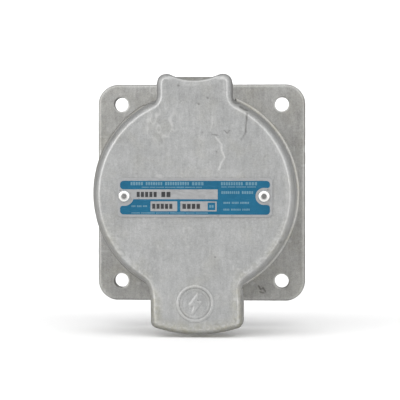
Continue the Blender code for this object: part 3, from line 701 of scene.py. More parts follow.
# =================================================================== housing
def flange_field(x, y, z):
    """Flange with a slightly drafted edge."""
    flange = rect_field(x, z, 63.5, 66.2, 12.2) + (FLANGE_BACK - y) * 0.015
    flange = meet(flange, FLANGE_FRONT - y, 1.7)
    return meet(flange, y - FLANGE_BACK, 0.5)


def sleeve_field(x, y, z):
    """Tapered sleeve and its outer rim, notched at the top."""
    outer = hypot(x, z) - (51.2 + (y - RIM_BACK) * (1.6 / 45))
    outer = both(meet(outer, RIM_FRONT - y, 0.7), y + 4.0)
    rim = meet(hypot(x - 0.45, z - 0.45) - 60.3, RIM_FRONT - y, 1.9)
    rim = meet(rim, y - RIM_BACK, 2.4)
    rim = cut(rim, both(np.abs(x) - 23.0, 50.2 - z), 1.2)
    return join(outer, rim, 1.8)


def boss_field(x, y, z):
    """Hinge barrel on a web."""
    wide = np.abs(x)
    barrel = meet(from_pin(y, z) - 8.0, wide - 14.5, 0.7)
    web = meet(slab(y, -60.1, -47.2), z - 60.0, 2.0)
    web = both(meet(web, wide - 14.2, 1.2), 46.6 - z)
    web = meet(web, (z - 57.2) * 0.93 + (y + 48.4) * 0.37, 2.0)
    return both(join(barrel, web, 1.8), 46.6 - hypot(x, z))


def rib_field(x, y, z):
    """Rib from the hinge boss back to the flange."""
    rib = meet(np.abs(x) - 2.9, z - (57.0 - (y + 49.3) * (2.0 / 38.3)), 1.2)
    return both(rib, slab(y, -50.0, -6.4), 49.3 - hypot(x, z))


def spring_pocket(x, y, z):
    return either(both(from_pin(y, z) - 6.4, x - 2.5),
                  both(x - 2.3, y + 57.3, slab(z, 51.4, 59.7)),
                  both(x + 11.7, y + 45.0, 58.0 - z),
                  both(slab(x, -0.2, 2.4), slab(y, -57.9, -45.0), slab(z, 53.9, 56.8)))


def housing_field(x, y, z):
    radius = hypot(x, z)
    body = sleeve_field(x, y, z)
    body = join(body, both(flange_field(x, y, z), 43.0 - radius), 4.2)
    lip = meet(radius - 50.5, LIP_FRONT - y, 0.8)
    body = join(body, both(lip, y + 56.0), 0.6)
    body = join(body, boss_field(x, y, z), 2.6)
    body = join(body, rib_field(x, y, z), 2.4)
    # spring pocket, pin hole and set screw hole
    body = cut(body, spring_pocket(x, y, z), 0.4)
    body = cut(body, from_pin(y, z) - 3.15, 0.3)
    set_screw = both(hypot(x - SET_SCREW_X, z - PIN_Z) - 2.2, slab(y, -55.4, -44.0))
    body = cut(body, set_screw, 0.3)
    # the plug well, the ledge, the rear recess
    body = cut(body, meet(radius - 45.5, y + 14.0, 1.0), 0.6)
    body = cut(body, radius - 30.0, 0.5)
    body = cut(body, both(radius - 42.0, -7.5 - y), 0.5)
    key = box_field(x, y, z, (-3.0, -50.0, 42.3), (3.0, -13.0, 47.5), 0.7)
    body = join(body, key, 0.8)
    # screw bosses and holes
    bolt, bond = from_bolts(x, z), from_bond(x, z)
    bosses = meet(either(bolt - 4.8, bond - 4.6), y + 2.5, 0.5)
    body = join(body, both(bosses, -10.0 - y), 1.0)
    body = cut(body, bolt - 2.4, 0.35)
    body = cut(body, both(bond - 1.95, -11.0 - y), 0.3)
    body = cut(body, from_corners(x, z) - 4.35, 0.5)
    # gate marks on the rim at the right: angle in degrees, radius
    for angle, size in ((1.5, 0.7), (5.0, 0.55), (-2.5, 0.5)):
        gate_x = 59.9 * math.cos(math.radians(angle))
        gate_z = 59.9 * math.sin(math.radians(angle))
        gate = np.sqrt((x - gate_x) ** 2 + (y + 57.2) ** 2 + (z - gate_z) ** 2) - size
        body = join(body, gate, 0.5)
    return body


# amount, half width, (x, z) points
HOUSING_SCARS = (
    (1.0, 0.30, ((35.0, -57.0), (36.4, -59.2), (38.0, -58.2), (39.2, -60.4))),
    (1.0, 0.25, ((36.0, -60.8), (38.4, -61.2))),
    (1.0, 0.25, ((-57.6, 21.0), (-58.0, 16.5))),
)


def housing_marks(x, y, z):
    radius = hypot(x, z)
    dark_mark = drawn(x, z, HOUSING_SCARS) * ((y > -12) & (y < -6))
    # darker in patches on the sleeve and in the corner at its foot
    sleeve_darkening = unit(1 - np.abs(radius - 53.5) / 4.0) * (y > -20)
    patch = unit(0.5 + noise(x, y, z, 9.0, 3))
    # painted shade on the rim's outer edge, strongest at the upper left, faint on the right
    edge_shade = unit((radius - 57.2) / 1.6) * (y < -52.0) * unit(62.0 - radius)
    edge_shade = edge_shade * np.where(x < 0, np.where(z > 10, 0.60, 0.34), 0.04)
    # and painted shade on the flange's edges: bottom, right, top, left
    for amount, past in ((0.50, -64.3 - z), (0.38, x - 61.6), (0.26, z - 64.6),
                         (0.14, -61.8 - x)):
        edge_shade = both(edge_shade, amount * unit(past / 1.2) * (y < -1.0))
    light_mark = 0.5 * (noise(x, y * 0.2, z, 2.2, 5) > 0.72) * (noise(x, y, z, 14.0, 6) > 0.1)
    return {"dark_mark": both(dark_mark * 0.9, 0.12 * sleeve_darkening * patch, edge_shade),
            "stain": 0.45 * patch * (y < -50) + 0.25 * patch,
            "light_mark": light_mark}


def make_housing():
    obj = cast("housing_casting", housing_field, (-63.5, -65.6, -66.2), (63.5, -1.9, 69.0),
               step=0.62, skin=cast_skin(0.085), marks=housing_marks)
    dress(obj, "cast_body", "cast_aluminium", "housing")


# ===================================================================== cover
def outline_pieces():
    """Arcs and upright lines of the right half of the cover's outline."""
    def bearing(x, z):
        return math.degrees(math.atan2(z, x))

    # hollow top edge between the horns
    dip, side = 65.8, EAR_OUT - 0.55
    horn_x, horn_z = side - HORN_R, HORN_TOP - HORN_R
    rise = horn_z - dip
    top_r = (horn_x ** 2 + rise ** 2 - HORN_R ** 2) / (2 * (HORN_R + rise))
    top_z = dip + top_r
    # fillets into the round, at the neck and at the pull tab
    neck_r, fillet_r, half = 6.0, 9.0, 26.5
    neck_x = side + neck_r
    neck_z = math.sqrt((COVER_R + neck_r) ** 2 - neck_x ** 2)
    fillet_x = half + fillet_r
    fillet_z = -math.sqrt((COVER_R + fillet_r) ** 2 - fillet_x ** 2)
    # the tab's corners and curved bottom edge
    corner_r, bottom_r, bottom = 3.8, 77.0, -81.0
    bottom_z = bottom + bottom_r
    corner_x = half - corner_r
    corner_z = bottom_z - math.sqrt((bottom_r - corner_r) ** 2 - corner_x ** 2)
    top_a, neck_a = bearing(horn_x, horn_z - top_z), bearing(neck_x, neck_z)
    fillet_a, corner_a = bearing(fillet_x, fillet_z), bearing(corner_x, corner_z - bottom_z)
    # centre x, centre z, radius (negative where hollow), low angle, high angle
    arcs = [(0.0, top_z, -top_r, -180 - top_a, top_a),
            (horn_x, horn_z, HORN_R, 0.0, 180 + top_a),
            (neck_x, neck_z, -neck_r, 180.0, 180.0 + neck_a),
            (0.0, 0.0, COVER_R, fillet_a, neck_a),
            (fillet_x, fillet_z, -fillet_r, 180.0 + fillet_a, 180.0),
            (corner_x, corner_z, corner_r, corner_a, 0.0),
            (0.0, bottom_z, bottom_r, -180 - corner_a, corner_a)]
    # x, low z, high z
    lines = [(side, neck_z, horn_z), (half, corner_z, fillet_z)]
    return arcs, lines


ARCS, LINES = outline_pieces()


def cover_outline(x, z):
    """Signed distance to the cover's outline in the x, z plane."""
    ease = unit((-48.0 - z) / 16.0)
    x = np.abs(x - TAB_SHIFT * ease * ease * (3 - 2 * ease))
    best = np.full(np.broadcast(x, z).shape, 1e9, F)
    for centre_x, centre_z, radius, low, high in ARCS:
        off_x, off_z = x - centre_x, z - centre_z
        angle = np.degrees(np.arctan2(off_z, off_x))
        off = np.abs((angle - (low + high) / 2 + 180) % 360 - 180)
        gap = (hypot(off_x, off_z) - abs(radius)) * (1 if radius > 0 else -1)
        use = (off <= (high - low) / 2 + 0.02) & (np.abs(gap) < np.abs(best))
        best = np.where(use, gap, best)
    for line_x, low, high in LINES:
        gap = x - line_x
        use = (z >= low - 0.01) & (z <= high + 0.01) & (np.abs(gap) < np.abs(best))
        best = np.where(use, gap, best)
    return best


def polygon_field(x, z, points):
    best, inside = np.inf, False
    for (x0, z0), (x1, z1) in zip(points, points[1:] + points[:1]):
        run, rise = x1 - x0, z1 - z0
        off_x, off_z = x - x0, z - z0
        share = unit((off_x * run + off_z * rise) / (run * run + rise * rise))
        best = either(best, hypot(off_x - run * share, off_z - rise * share))
        if rise:
            inside = inside ^ (((z0 <= z) != (z1 <= z)) & (x < x0 + off_z * (run / rise)))
    return np.where(inside, -best, best)


FLASH = ((1.7, 6.0), (-3.3, -0.8), (-0.5, -0.8), (-1.7, -6.0), (3.3, 1.0), (0.5, 1.0))


def badge_field(x, z):
    """A plain round badge with a lightning flash, as a 2D distance."""
    x, z = x - 0.6, z + 62.8
    radius = hypot(x, z)
    return either(np.abs(radius - 9.9) - 0.45, np.abs(radius - 8.1) - 0.22,
                  polygon_field(x, z, FLASH) - 0.25)


def ear_field(x, y, z):
    """Hinge ears, kept within the horns."""
    wide = np.abs(x)
    arm = both(slab(y, -68.0, PIN_Y), slab(z, 53.5, HORN_TOP))
    arm = join(from_pin(y, z) - EAR_R, arm, 0.8)
    ear = meet(arm, slab(wide, EAR_IN, EAR_OUT - 0.5), 0.9)
    horn = hypot(wide - (EAR_OUT - HORN_R), z - (HORN_TOP - HORN_R)) - 4.7
    return meet(ear, np.where(z > HORN_TOP - HORN_R, horn, F(-9.0)), 0.9)


def cover_field(x, y, z):
    wide = np.abs(x)
    radius = hypot(x, z)
    rim = cover_outline(x, z)
    side = rim - (y - COVER_FRONT) * 0.02
    crown = COVER_FRONT - y
    # the front edge is crisper in the hollow top, rounder at the foot of the tab
    hollow = unit((z - 60.5) / 2.5) * unit((15.5 - wide) / 3.0)
    body = mix(meet(side, crown, 4.2), meet(side, crown, 1.5), hollow)
    body = mix(body, meet(side, crown, 5.6), unit((-66.0 - z) / 12.0))
    # rolled bead just inside the edge, fading out down the tab
    bead = np.exp(-((rim + 2.75) / 1.2) ** 2) * unit((z + 76.0) / 6.0) * (1 - hollow)
    bead = bead * (1 + 0.30 * flat_noise(x, z, 1.7, 11))
    body = body - 0.40 * bead * unit((-66.0 - y) / 2.0)
    # the round skirt flares towards its open edge
    skirt = radius - (56.2 + (y - COVER_FRONT) * 0.33)
    skirt = meet(skirt, COVER_FRONT + 2.6 - y, 1.2)
    skirt = meet(skirt, y - SKIRT_BACK, 0.8)
    body = meet(join(body, skirt, 1.2), y - HOOD_BACK, 1.0)
    badge = both(badge_field(x, z), slab(y, COVER_FRONT - 0.5, COVER_FRONT + 1.0))
    body = join(body, badge, 0.2)
    # cut back to the rim all round, the hood alone reaches behind it
    cavity = meet(rim + 4.6 - (y - COVER_INNER) * 0.05, COVER_INNER - y, 1.6)
    body = cut(body, cavity, 0.8)
    body = cut(body, both(radius - 61.3, SKIRT_BACK - y), 0.8)
    body = cut(body, both(44.0 - z, SKIRT_BACK - y), 0.8)
    # gasket retainer inside
    ring = meet(np.abs(radius - 43.0) - 0.9, y - (COVER_INNER + 2.0), 0.5)
    body = join(body, both(ring, COVER_INNER - 1.0 - y), 0.6)
    # two stiffening webs inside the pull hood
    web = both(np.abs(wide - 9.0) - 1.1, slab(y, COVER_INNER - 1.0, -60.5), rim + 2.5,
               61.6 - radius, z + 50)
    body = join(body, web, 1.0)
    # hinge ears, clear of the barrel between them
    body = join(body, ear_field(x, y, z), 1.2)
    pin = from_pin(y, z)
    body = cut(body, both(pin - SWEEP_R, wide - (EAR_IN - 0.05)), 0.4)
    body = cut(body, both(pin - PIN_HOLE_R, 10.0 - wide), 0.4)
    return cut(body, hypot(wide - SCREW_X, z - SCREW_Z) - 1.7, 0.2)


# amount, half width, (x, z) points
COVER_SCARS = (
    (0.75, 0.30, ((30.5, 46.5), (29.9, 40.7), (29.7, 35.8))),
    (0.45, 0.36, ((29.7, 35.8), (28.6, 33.8), (27.0, 31.5))),
    (0.80, 0.40, ((26.4, 50.4), (28.8, 48.8), (30.6, 48.4))),
    (0.60, 0.30, ((17.6, 36.7), (19.0, 35.2), (20.3, 36.6))),
    (0.50, 0.25, ((10.5, 34.4), (14.1, 34.0))),
)
COVER_SCUFFS = (
    (1.0, 0.30, ((12.5, 32.9), (14.4, 30.6), (16.0, 28.6), (15.8, 25.7), (17.7, 21.3),
                 (15.4, 17.6), (14.3, 14.1))),
    (0.5, 0.35, ((10.6, 44.6), (10.3, 40.4), (9.2, 36.6))),
)
# x, z, radius, amount
PITS = (
    (7.9, 55.4, 0.75, 0.8), (2.7, 51.8, 0.65, 0.8), (-8.9, 62.6, 0.8, 0.8),
    (5.0, 35.8, 0.8, 0.4), (50.0, -27.6, 0.7, 0.9), (-42.1, -35.2, 0.6, 0.6),
    (12.1, -35.9, 0.5, 0.7), (-33.0, 12.0, 0.5, 0.4), (22.0, -30.0, 0.5, 0.4),
    (41.0, 22.0, 0.5, 0.4), (-44.0, -24.0, 0.5, 0.5), (13.0, 24.5, 0.5, 0.4),
)
# x, z, radius of patches of rubbed flecks
FLECKED = (
    (-36.0, -42.0, 8.0), (-27.0, -46.0, 7.0), (-47.0, -22.0, 6.0), (-8.0, -24.0, 9.0),
    (-20.0, -33.0, 8.0), (-18.5, -63.0, 8.0), (24.0, -41.0, 7.0), (43.0, -30.0, 7.0),
    (-19.0, 12.0, 6.0),
)
# (x, z) points of a deep scratch and a faint raised vein
SCRATCH = ((30.5, 46.5), (29.9, 40.7), (29.7, 35.8), (28.6, 33.8))
VEIN = ((12.5, 32.9), (16.0, 28.6), (15.8, 25.7), (17.7, 21.3), (14.3, 14.1))


def cover_dark_marks(x, z, inset):
    dark_mark = drawn(x, z, COVER_SCARS)
    for *place, amount in PITS:
        dark_mark = both(dark_mark, amount * near_spot(x, z, *place))
    badge_edge = 0.30 * unit(1 - np.abs(badge_field(x, z) - 0.25) / 0.4)
    # darker across the top of the face and up the neck
    top_darkening = 0.13 * unit((z - 49.0) / 6.0) * unit(inset / 3.0 - 0.6)
    return both(dark_mark, badge_edge, top_darkening)


def cover_light_marks(x, z, inset):
    light_mark = drawn(x, z, COVER_SCUFFS)
    # cobweb of light scratches, upper left
    web = 1 - np.abs(flat_noise(x + 0.6 * z, z * 0.6 - x, 3.1, 8)) * 4.5
    light_mark = both(light_mark, unit(web) * unit(1.6 * near_spot(x, z, -18.5, 41.5, 9.5)))
    # rubbed flecks
    fleck = unit((flat_noise(x, z * 0.7, 1.5, 9) - 0.45) * 3.5)
    for place in FLECKED:
        light_mark = both(light_mark, 0.65 * fleck * near_spot(x, z, *place))
    # the bead is rubbed bright in patches
    rub = np.exp(-((inset - 2.6) / 1.1) ** 2) * unit(0.55 + 0.9 * flat_noise(x, z, 2.4, 10))
    light_mark = both(light_mark, rub * np.where(z > 15, 0.28, 0.20) * (z > -76))
    # grainy skin along the edge, coarser low down and up the neck
    grain = unit(flat_noise(x, z, 1.15, 12) * 2.2 - 0.25)
    height = np.where(z > 44.0, 0.55, np.clip((24.0 - z) / 40.0, 0.30, 1.0))
    band = np.exp(-((inset - 3.2) / 2.6) ** 2) * height
    light_mark = both(light_mark, 0.62 * grain * band * (z > -78))
    # the tab is lighter low down, more on the left: painted light, broken up by rubbed flecks
    tab_wear_and_light = 0.16 * unit((-52.0 - z) / 8) * np.where(x < 0, 1.0, 0.4) * (0.6 + 0.8 * fleck)
    return both(light_mark, tab_wear_and_light)


def cover_marks(x, y, z):
    front = unit((-66.0 - y) / 2.0)
    inset = -cover_outline(x, z)
    # painted shade on the side of the skirt, most of all at the neck
    height = np.where(z > 52.0, 0.55, np.clip(0.05 + (z + 15.0) / 280.0, 0.03, 0.25))
    side_shade = unit(1.15 - inset / 1.1) * height
    # painted light on the side of the skirt, from just above the middle downwards, ending
    # partway down the tab
    side_light = 0.55 * unit(1.9 - inset / 1.2) * unit((12.0 - z) / 20.0) * (z > -58)
    # film along the edge, stronger low down and on the tab
    patch = unit(0.45 + 0.9 * noise(x, y, z, 6.0, 4))
    edge_film = 0.80 * unit(1.25 - inset / 5.5) * unit((20 - z) / 60) * patch
    tab_film = unit(1.3 - inset / 6.5) * unit((-56 - z) / 8) * (0.55 + 0.65 * patch)
    spot_film = 0.7 * near_spot(x, z, 46.0, -31.0, 7.0) * unit(1.2 - inset / 6)
    return {"dark_mark": both(cover_dark_marks(x, z, inset) * front, side_shade),
            "light_mark": both(cover_light_marks(x, z, inset) * front, side_light),
            "stain": both(edge_film, tab_film, spot_film)}


def make_cover():
    rough = cast_skin(0.06)

    def skin(x, y, z):
        lift = rough(x, y, z)
        front = unit((-67.0 - y) / 1.5)
        for *place, amount in PITS:
            lift = lift - 0.28 * amount * near_spot(x, z, *place) * front
        lift = lift - 0.14 * front * near_line(x, z, SCRATCH, 0.34)
        return lift + 0.10 * front * near_line(x, z, VEIN, 0.35)

    obj = cast("cover_casting", cover_field, (-58.6, -71.2, -81.6), (58.6, -46.5, 69.8),
               step=0.55, skin=skin, marks=cover_marks)
    dress(obj, "cast_cover", "cast_aluminium_cover", "cover", body="cover")


# ================================================================= nameplate
def dress_plate(obj, material):
    dress(obj, material, "enamelled_plate", "nameplate", body="cover")


def panel(name, outline, material, lift):
    """Thin raised field, standing lift proud of the plate's face."""
    dress_plate(plate(name, outline, PLATE_FACE + 0.12, PLATE_FACE - lift), material)


def make_panels():
    """Blue fields and bare metal boxes."""
    field_top, field_low, split = 7.9, -11.5, 13.7
    top = [(13.8, 3.0), (13.8, field_top)]
    top += arc(-40.6, 5.9, 2.0, 90, 180, 8) + arc(-40.6, 5.0, 2.0, 180, 270, 8)
    panel("nameplate_blue_top", top[::-1], "blue", 0.05)
    # the lower and right fields curve round the screws
    left_top, left_r, right_r = -2.7, 5.6, 4.9
    start = math.degrees(math.asin((left_top - SCREW_Z) / left_r))
    left = [(split, field_low), (split, left_top)] + arc(-SCREW_X, SCREW_Z, left_r, start, -80)
    left += arc(-41.0, -8.1, 1.6, 90, 180, 8) + arc(-40.6, -9.5, 2.0, 180, 270, 8)
    panel("nameplate_blue_lower", left[::-1], "blue", 0.05)
    right = [(split, field_low)] + arc(41.6, -9.5, 2.0, -90, 0, 8)
    right += arc(42.2, -7.4, 1.4, 0, 80, 6) + arc(SCREW_X, SCREW_Z, right_r, -80, -280, 22)
    right += arc(42.2, 5.2, 1.4, -80, 0, 6) + arc(41.6, 5.9, 2.0, 0, 90, 8)
    right += [(split, field_top)]
    panel("nameplate_blue_right", right, "blue", 0.05)
    for k, (start, end) in enumerate(((-25.0, -9.6), (-7.8, 13.1)), 1):
        box = rect_outline(start, -9.6, end, -3.9, 0.3, 3)
        panel(f"nameplate_box_{k}", box, "plate_metal", 0.09)
    panel("nameplate_box_square", rect_outline(7.9, -8.9, 12.3, -4.6, 0.4, 3), "blue", 0.12)


# name, start x, end x, middle z, height, mean word length, material, lift off the face
PRINT = (
    ("print_top_1", -36.5, 5.5, 6.3, 1.9, 11.0, "pale_ink", 0.10),
    ("print_top_2", -30.0, 6.0, 4.15, 0.7, 5.0, "pale_ink", 0.09),
    ("print_right_1", 15.6, 38.5, 6.3, 1.9, 9.0, "pale_ink", 0.10),
    ("print_right_2", 15.8, 37.5, 4.4, 0.7, 4.0, "pale_ink", 0.09),
    ("print_right_3", 15.8, 34.0, 1.2, 1.6, 7.0, "pale_ink", 0.10),
    ("print_right_4", 17.0, 32.0, -4.7, 1.1, 4.0, "pale_ink", 0.09),
    ("print_right_5", 17.0, 32.0, -8.6, 1.1, 4.0, "pale_ink", 0.09),
    ("print_band", -33.0, -13.5, 0.05, 3.0, 9.0, "black_ink", 0.05),
    ("print_left_small", -36.0, -27.0, -6.7, 1.0, 3.0, "pale_ink", 0.09),
    ("print_box_1", -24.0, -10.8, -6.75, 2.9, 13.0, "black_ink", 0.13),
    ("print_box_2", -6.6, 3.6, -6.75, 2.9, 10.0, "black_ink", 0.13),
    ("print_square", 8.9, 11.3, -6.75, 1.5, 2.4, "pale_ink", 0.15),
    ("print_bottom", -36.0, 11.0, -10.6, 0.8, 6.0, "pale_ink", 0.09),
)


def make_print_line(words, name, x, end, z, height, mean, material, lift):
    """Bars with the rhythm of words, no letters."""
    shape = bmesh.new()
    while x < end - 0.4 * mean:
        width = min(mean * (0.6 + 0.9 * words.rand()), end - x)
        gap = height * 0.22
        count = max(1, int(width / (height * 0.70)))
        bar = (width - gap * (count - 1)) / count
        for i in range(count):
            left = x + i * (bar + gap)
            low = Vector((left, PLATE_FACE - lift, z - height / 2)) * MM
            high = Vector((left + bar, PLATE_FACE + 0.02, z + height / 2)) * MM
            for vert in bmesh.ops.create_cube(shape, size=1.0)["verts"]:
                vert.co = Vector([(start + stop) / 2 + side * (stop - start)
                                  for start, stop, side in zip(low, high, vert.co)])
        x += width + height * 0.9
    obj = bmesh_object(name, shape)
    modifier = obj.modifiers.new("edge", "BEVEL")
    modifier.width = 0.04 * MM
    modifier.segments = 2
    dress_plate(obj, material)


def make_nameplate():
    holes = [arc(side * SCREW_X, SCREW_Z, 1.75, 0, 360, 24)[:-1] for side in (-1, 1)]
    sheet = plate("nameplate_sheet", rect_outline(-44.0, -12.9, 45.0, 9.4, 2.2),
                  PLATE_BACK, PLATE_FACE, bevel=0.18, holes=holes)
    dress_plate(sheet, "plate_metal")
    make_panels()
    words = np.random.RandomState(21)
    for line in PRINT:
        make_print_line(words, *line)


def make_drive_screws():
    profile = [(0.0, 1.80), (0.9, 1.80), (1.4, 1.79)]
    for i in range(6, 19):
        angle = math.radians(i * 90 / 18)
        profile.append((3.5 * math.sin(angle), 0.25 + 1.75 * math.cos(angle)))
    profile += [(3.45, 0.05), (3.35, 0.0), (1.5, 0.0)]
    for i in range(9):
        top = -0.5 * i
        profile += [(1.5, top - 0.15), (1.3, top - 0.3), (1.3, top - 0.38), (1.5, top - 0.5)]
    profile += [(1.0, -5.3), (0.0, -5.4)]
    for side, x in (("left", -SCREW_X), ("right", SCREW_X)):
        obj = lathe(f"drive_screw_{side}", profile, at=(x, COVER_FRONT - 1.2, SCREW_Z),
                    along=(0, -1, 0))
        dress(obj, "nickel", "nickel_steel", f"nameplate_screw_{side}", body="cover")


# ===================================================================== hinge
def make_pin():
    length = 2 * EAR_OUT - 1.6
    profile = rounded([(0, 0), (3.0, 0), (3.0, length), (0, length)], 0.6, 5)
    # a dimple in the left end
    profile = [(0, 0.45), (0.9, 0.0), (1.0, 0.35)] + profile[1:]
    obj = lathe("hinge_pin_rod", profile, at=(-length / 2, PIN_Y, PIN_Z), along=(1, 0, 0))
    dress(obj, "stainless", "stainless_steel", "hinge_pin")


def make_set_screw():
    def field(x, y, z):
        x, depth, z = x - SET_SCREW_X, y - (PIN_Y + 3.3), z - PIN_Z
        radius = hypot(x, z)
        body = meet(radius - 1.72 - 0.5 * thread(x, z, depth, 0.7), slab(depth, 0.0, 4.5), 0.2)
        body = both(body, radius - 1.3 - (depth + 0.1) * 0.9)
        return cut(body, both(np.abs(z) - 0.35, 3.4 - depth), 0.08)

    obj = cast("hinge_pin_grub_screw", field, (6.4, PIN_Y + 3.2, PIN_Z - 2.1),
               (10.6, PIN_Y + 7.9, PIN_Z + 2.1), step=0.13, passes=1)
    dress(obj, "zinc", "zinc_steel", "hinge_pin_set_screw")


SPRING_START, SPRING_END, SPRING_TURNS = 1.15, -13.1, 6.25      # x, x, turns
COIL_R, WIRE_R = 4.6, 0.9


def spring_path():
    """Centre line of the wire: a straight leg, the coil, a bent leg."""
    path = [(SPRING_START, PIN_Y + back, PIN_Z - COIL_R) for back in (8.2, 6.0, 3.0, 1.2)]
    steps = int(SPRING_TURNS * 40)
    for i in range(steps + 1):
        share = i / steps
        angle = math.radians(270 - 360 * SPRING_TURNS * share)
        path.append((SPRING_START + (SPRING_END - SPRING_START) * share,
                     PIN_Y + COIL_R * math.cos(angle), PIN_Z + COIL_R * math.sin(angle)))
    for y, z in ((-4.65, 1.0), (-4.9, 2.4), (-5.3, 3.8), (-5.75, 5.0), (-5.85, 5.5)):
        path.append((SPRING_END, PIN_Y + y, PIN_Z + z))
    return np.array(path)


def make_spring():
    """Torsion spring: a round wire swept along its path."""
    path, sides = spring_path(), 16
    tangents = np.gradient(path, axis=0)
    tangents /= np.linalg.norm(tangents, axis=1)[:, None]
    angles = np.arange(sides) * 2 * math.pi / sides
    rings = []
    for point, tangent in zip(path, tangents):
        out = np.array([1.0, 0, 0]) - tangent * tangent[0]
        out /= np.linalg.norm(out)
        side = np.cross(tangent, out)
        rings.append(np.array([point + WIRE_R * (math.cos(a) * out + math.sin(a) * side)
                               for a in angles]))
    # smaller rings round the wire's ends
    first = (rings[0] - path[0]) * 0.6 + (path[0] - tangents[0] * WIRE_R * 0.55)
    last = (rings[-1] - path[-1]) * 0.6 + (path[-1] + tangents[-1] * WIRE_R * 0.35)
    shape = bmesh.new()
    loops = [[shape.verts.new(Vector(point) * MM) for point in ring]
             for ring in (first, *rings, last)]
    for near, far in zip(loops, loops[1:]):
        for i in range(sides):
            j = (i + 1) % sides
            shape.faces.new((near[i], near[j], far[j], far[i]))
    shape.faces.new(loops[0])
    shape.faces.new(loops[-1])
    bmesh.ops.recalc_face_normals(shape, faces=shape.faces)
    obj = bmesh_object("torsion_spring_wire", shape, sharp=50)
    dress(obj, "stainless", "stainless_steel", "torsion_spring", body=None)
    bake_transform(obj)


# =================================================================== gaskets
def make_mounting_gasket():
    def field(x, y, z):
        sheet = meet(rect_field(x, z, 63.0, 65.7, 11.0), slab(y, -1.6, 0.0), 0.3)
        sheet = cut(sheet, hypot(x, z) - 44.0, 0.25)
        return cut(sheet, from_corners(x, z) - 4.65, 0.25)

    obj = cast("mounting_gasket_sheet", field, (-63, -1.6, -65.7), (63, 0, 65.7),
               step=0.5, skin=lambda x, y, z: 0.02 * noise(x, y, z, 4.0),
               passes=1)
    dress(obj, "rubber", "black_neoprene", "mounting_gasket")


def make_cover_gasket():
    profile = [(44.6, -65.6), (52.6, -65.6), (52.6, -62.7), (52.0, -62.1), (50.9, -62.1),
               (50.9, -62.35), (45.1, -62.35), (45.1, -62.1), (44.6, -62.5)]
    obj = lathe("cover_gasket_ring", rounded(profile, 0.3, 3, closed=True), segments=160,
                closed=True)
    dress(obj, "rubber", "cover_neoprene", "cover_gasket", body="cover")


def make_insulator_gasket():
    def field(x, y, z):
        ring = meet(slab(hypot(x, z), 30.6, 41.4), slab(y, -15.1, -14.3), 0.2)
        return cut(ring, from_bolts(x, z) - 2.8, 0.15)

    obj = cast("insulator_gasket_ring", field, (-41.4, -15.1, -41.4), (41.4, -14.3, 41.4),
               step=0.35, passes=1)
    dress(obj, "rubber", "black_neoprene", "insulator_gasket")


# ================================================================ insulators
def moulded_skin(x, y, z):
    return 0.012 * noise(x, y, z, 3.0)


def make_front_insulator():
    def field(x, y, z):
        radius = hypot(x, z)
        body = meet(radius - 41.0, slab(y, -22.4, -15.4), 1.0)
        stem = meet(radius - 29.6, y - 1.6, 0.5)
        body = join(body, both(stem, -18.0 - y), 0.4)
        # ring groove, centre dimple, then a groove and a hole at each contact
        body = cut(body, both(np.abs(radius - 30.2) - 0.5, y + 21.9), 0.3)
        body = cut(body, both(radius - 3.0, y + 21.7), 0.3)
        for name, pole_x, pole_z, *_ in POLES:
            reach = hypot(x - pole_x, z - pole_z)
            contact_r = GROUND_R if name == "ground" else LINE_R
            body = cut(body, both(np.abs(reach - contact_r - 1.9) - 0.35, y + 22.0), 0.2)
            body = cut(body, reach - (contact_r + 0.25), 0.35)
            body = cut(body, both(reach - 7.0, -1.6 - y), 0.2)
        bolt = from_bolts(x, z)
        body = cut(body, both(bolt - 4.45, y + 19.4), 0.3)
        body = cut(body, bolt - 2.55, 0.25)
        return cut(body, both(radius - 2.4, -12.0 - y), 0.2)

    obj = cast("front_insulator_moulding", field, (-41, -22.4, -41), (41, 1.6, 41), step=0.5,
               skin=moulded_skin)
    dress(obj, "red_moulding", "red_insulator", "insulator_front")


def make_rear_insulator():
    def field(x, y, z):
        radius = hypot(x, z)
        body = meet(radius - 29.0 + (y - 1.9) * 0.012, slab(y, 1.9, 37.0), 0.9)
        # terminal holes, with a slot out from each
        for _, pole_x, pole_z, out_x, out_z in POLES:
            reach = hypot(x - pole_x, z - pole_z)
            along, across = x * out_x + z * out_z, z * out_x - x * out_z
            body = cut(body, reach - 3.5, 0.2)
            body = cut(body, meet(reach - 8.0, 8.0 - y, 0.6), 0.5)
            slot = both(meet(np.abs(across) - 3.6, 18.0 - y, 1.5), 15.0 - along)
            body = cut(body, slot, 0.5)
        # channel for the ground strap, hole for the clamp screw
        along, across = bond_axes(x, z)
        body = cut(body, both(np.abs(across) - 5.3, y - 3.6, 11.5 - along), 0.3)
        body = cut(body, radius - 2.7, 0.2)
        return cut(body, both(radius - 5.3, 32.5 - y), 0.4)

    obj = cast("rear_insulator_moulding", field, (-29, 1.9, -29), (29, 37, 29), step=0.42,
               skin=moulded_skin)
    dress(obj, "black_moulding", "black_insulator", "insulator_rear")


# ================================================================== contacts
def make_pins():
    for name, x, z, *_ in POLES:
        radius, tip = (GROUND_R, -56.0) if name == "ground" else (LINE_R, -52.5)
        profile = [(0, tip)]
        for i in range(1, 13):
            angle = math.radians(i * 90 / 12)
            profile.append((radius * math.sin(angle) ** 0.9, tip + 3.6 * (1 - math.cos(angle))))
        profile += [(radius, -24.5), (radius - 0.15, -24.2), (radius - 0.15, -23.6),
                    (radius, -23.3), (radius, -1.5), (radius + 0.3, -1.3),
                    (6.6, -1.3), (6.7, -1.1), (6.7, 1.1), (6.6, 1.3), (3.3, 1.3), (3.2, 1.6),
                    (3.2, 14.5), (2.8, 15.0), (0, 15.0)]
        node = "ground_pin" if name == "ground" else name.replace("line", "line_pin")
        obj = lathe(node + "_contact", profile, at=(x, 0, z))
        dress(obj, "contact", "nickel_brass", node)


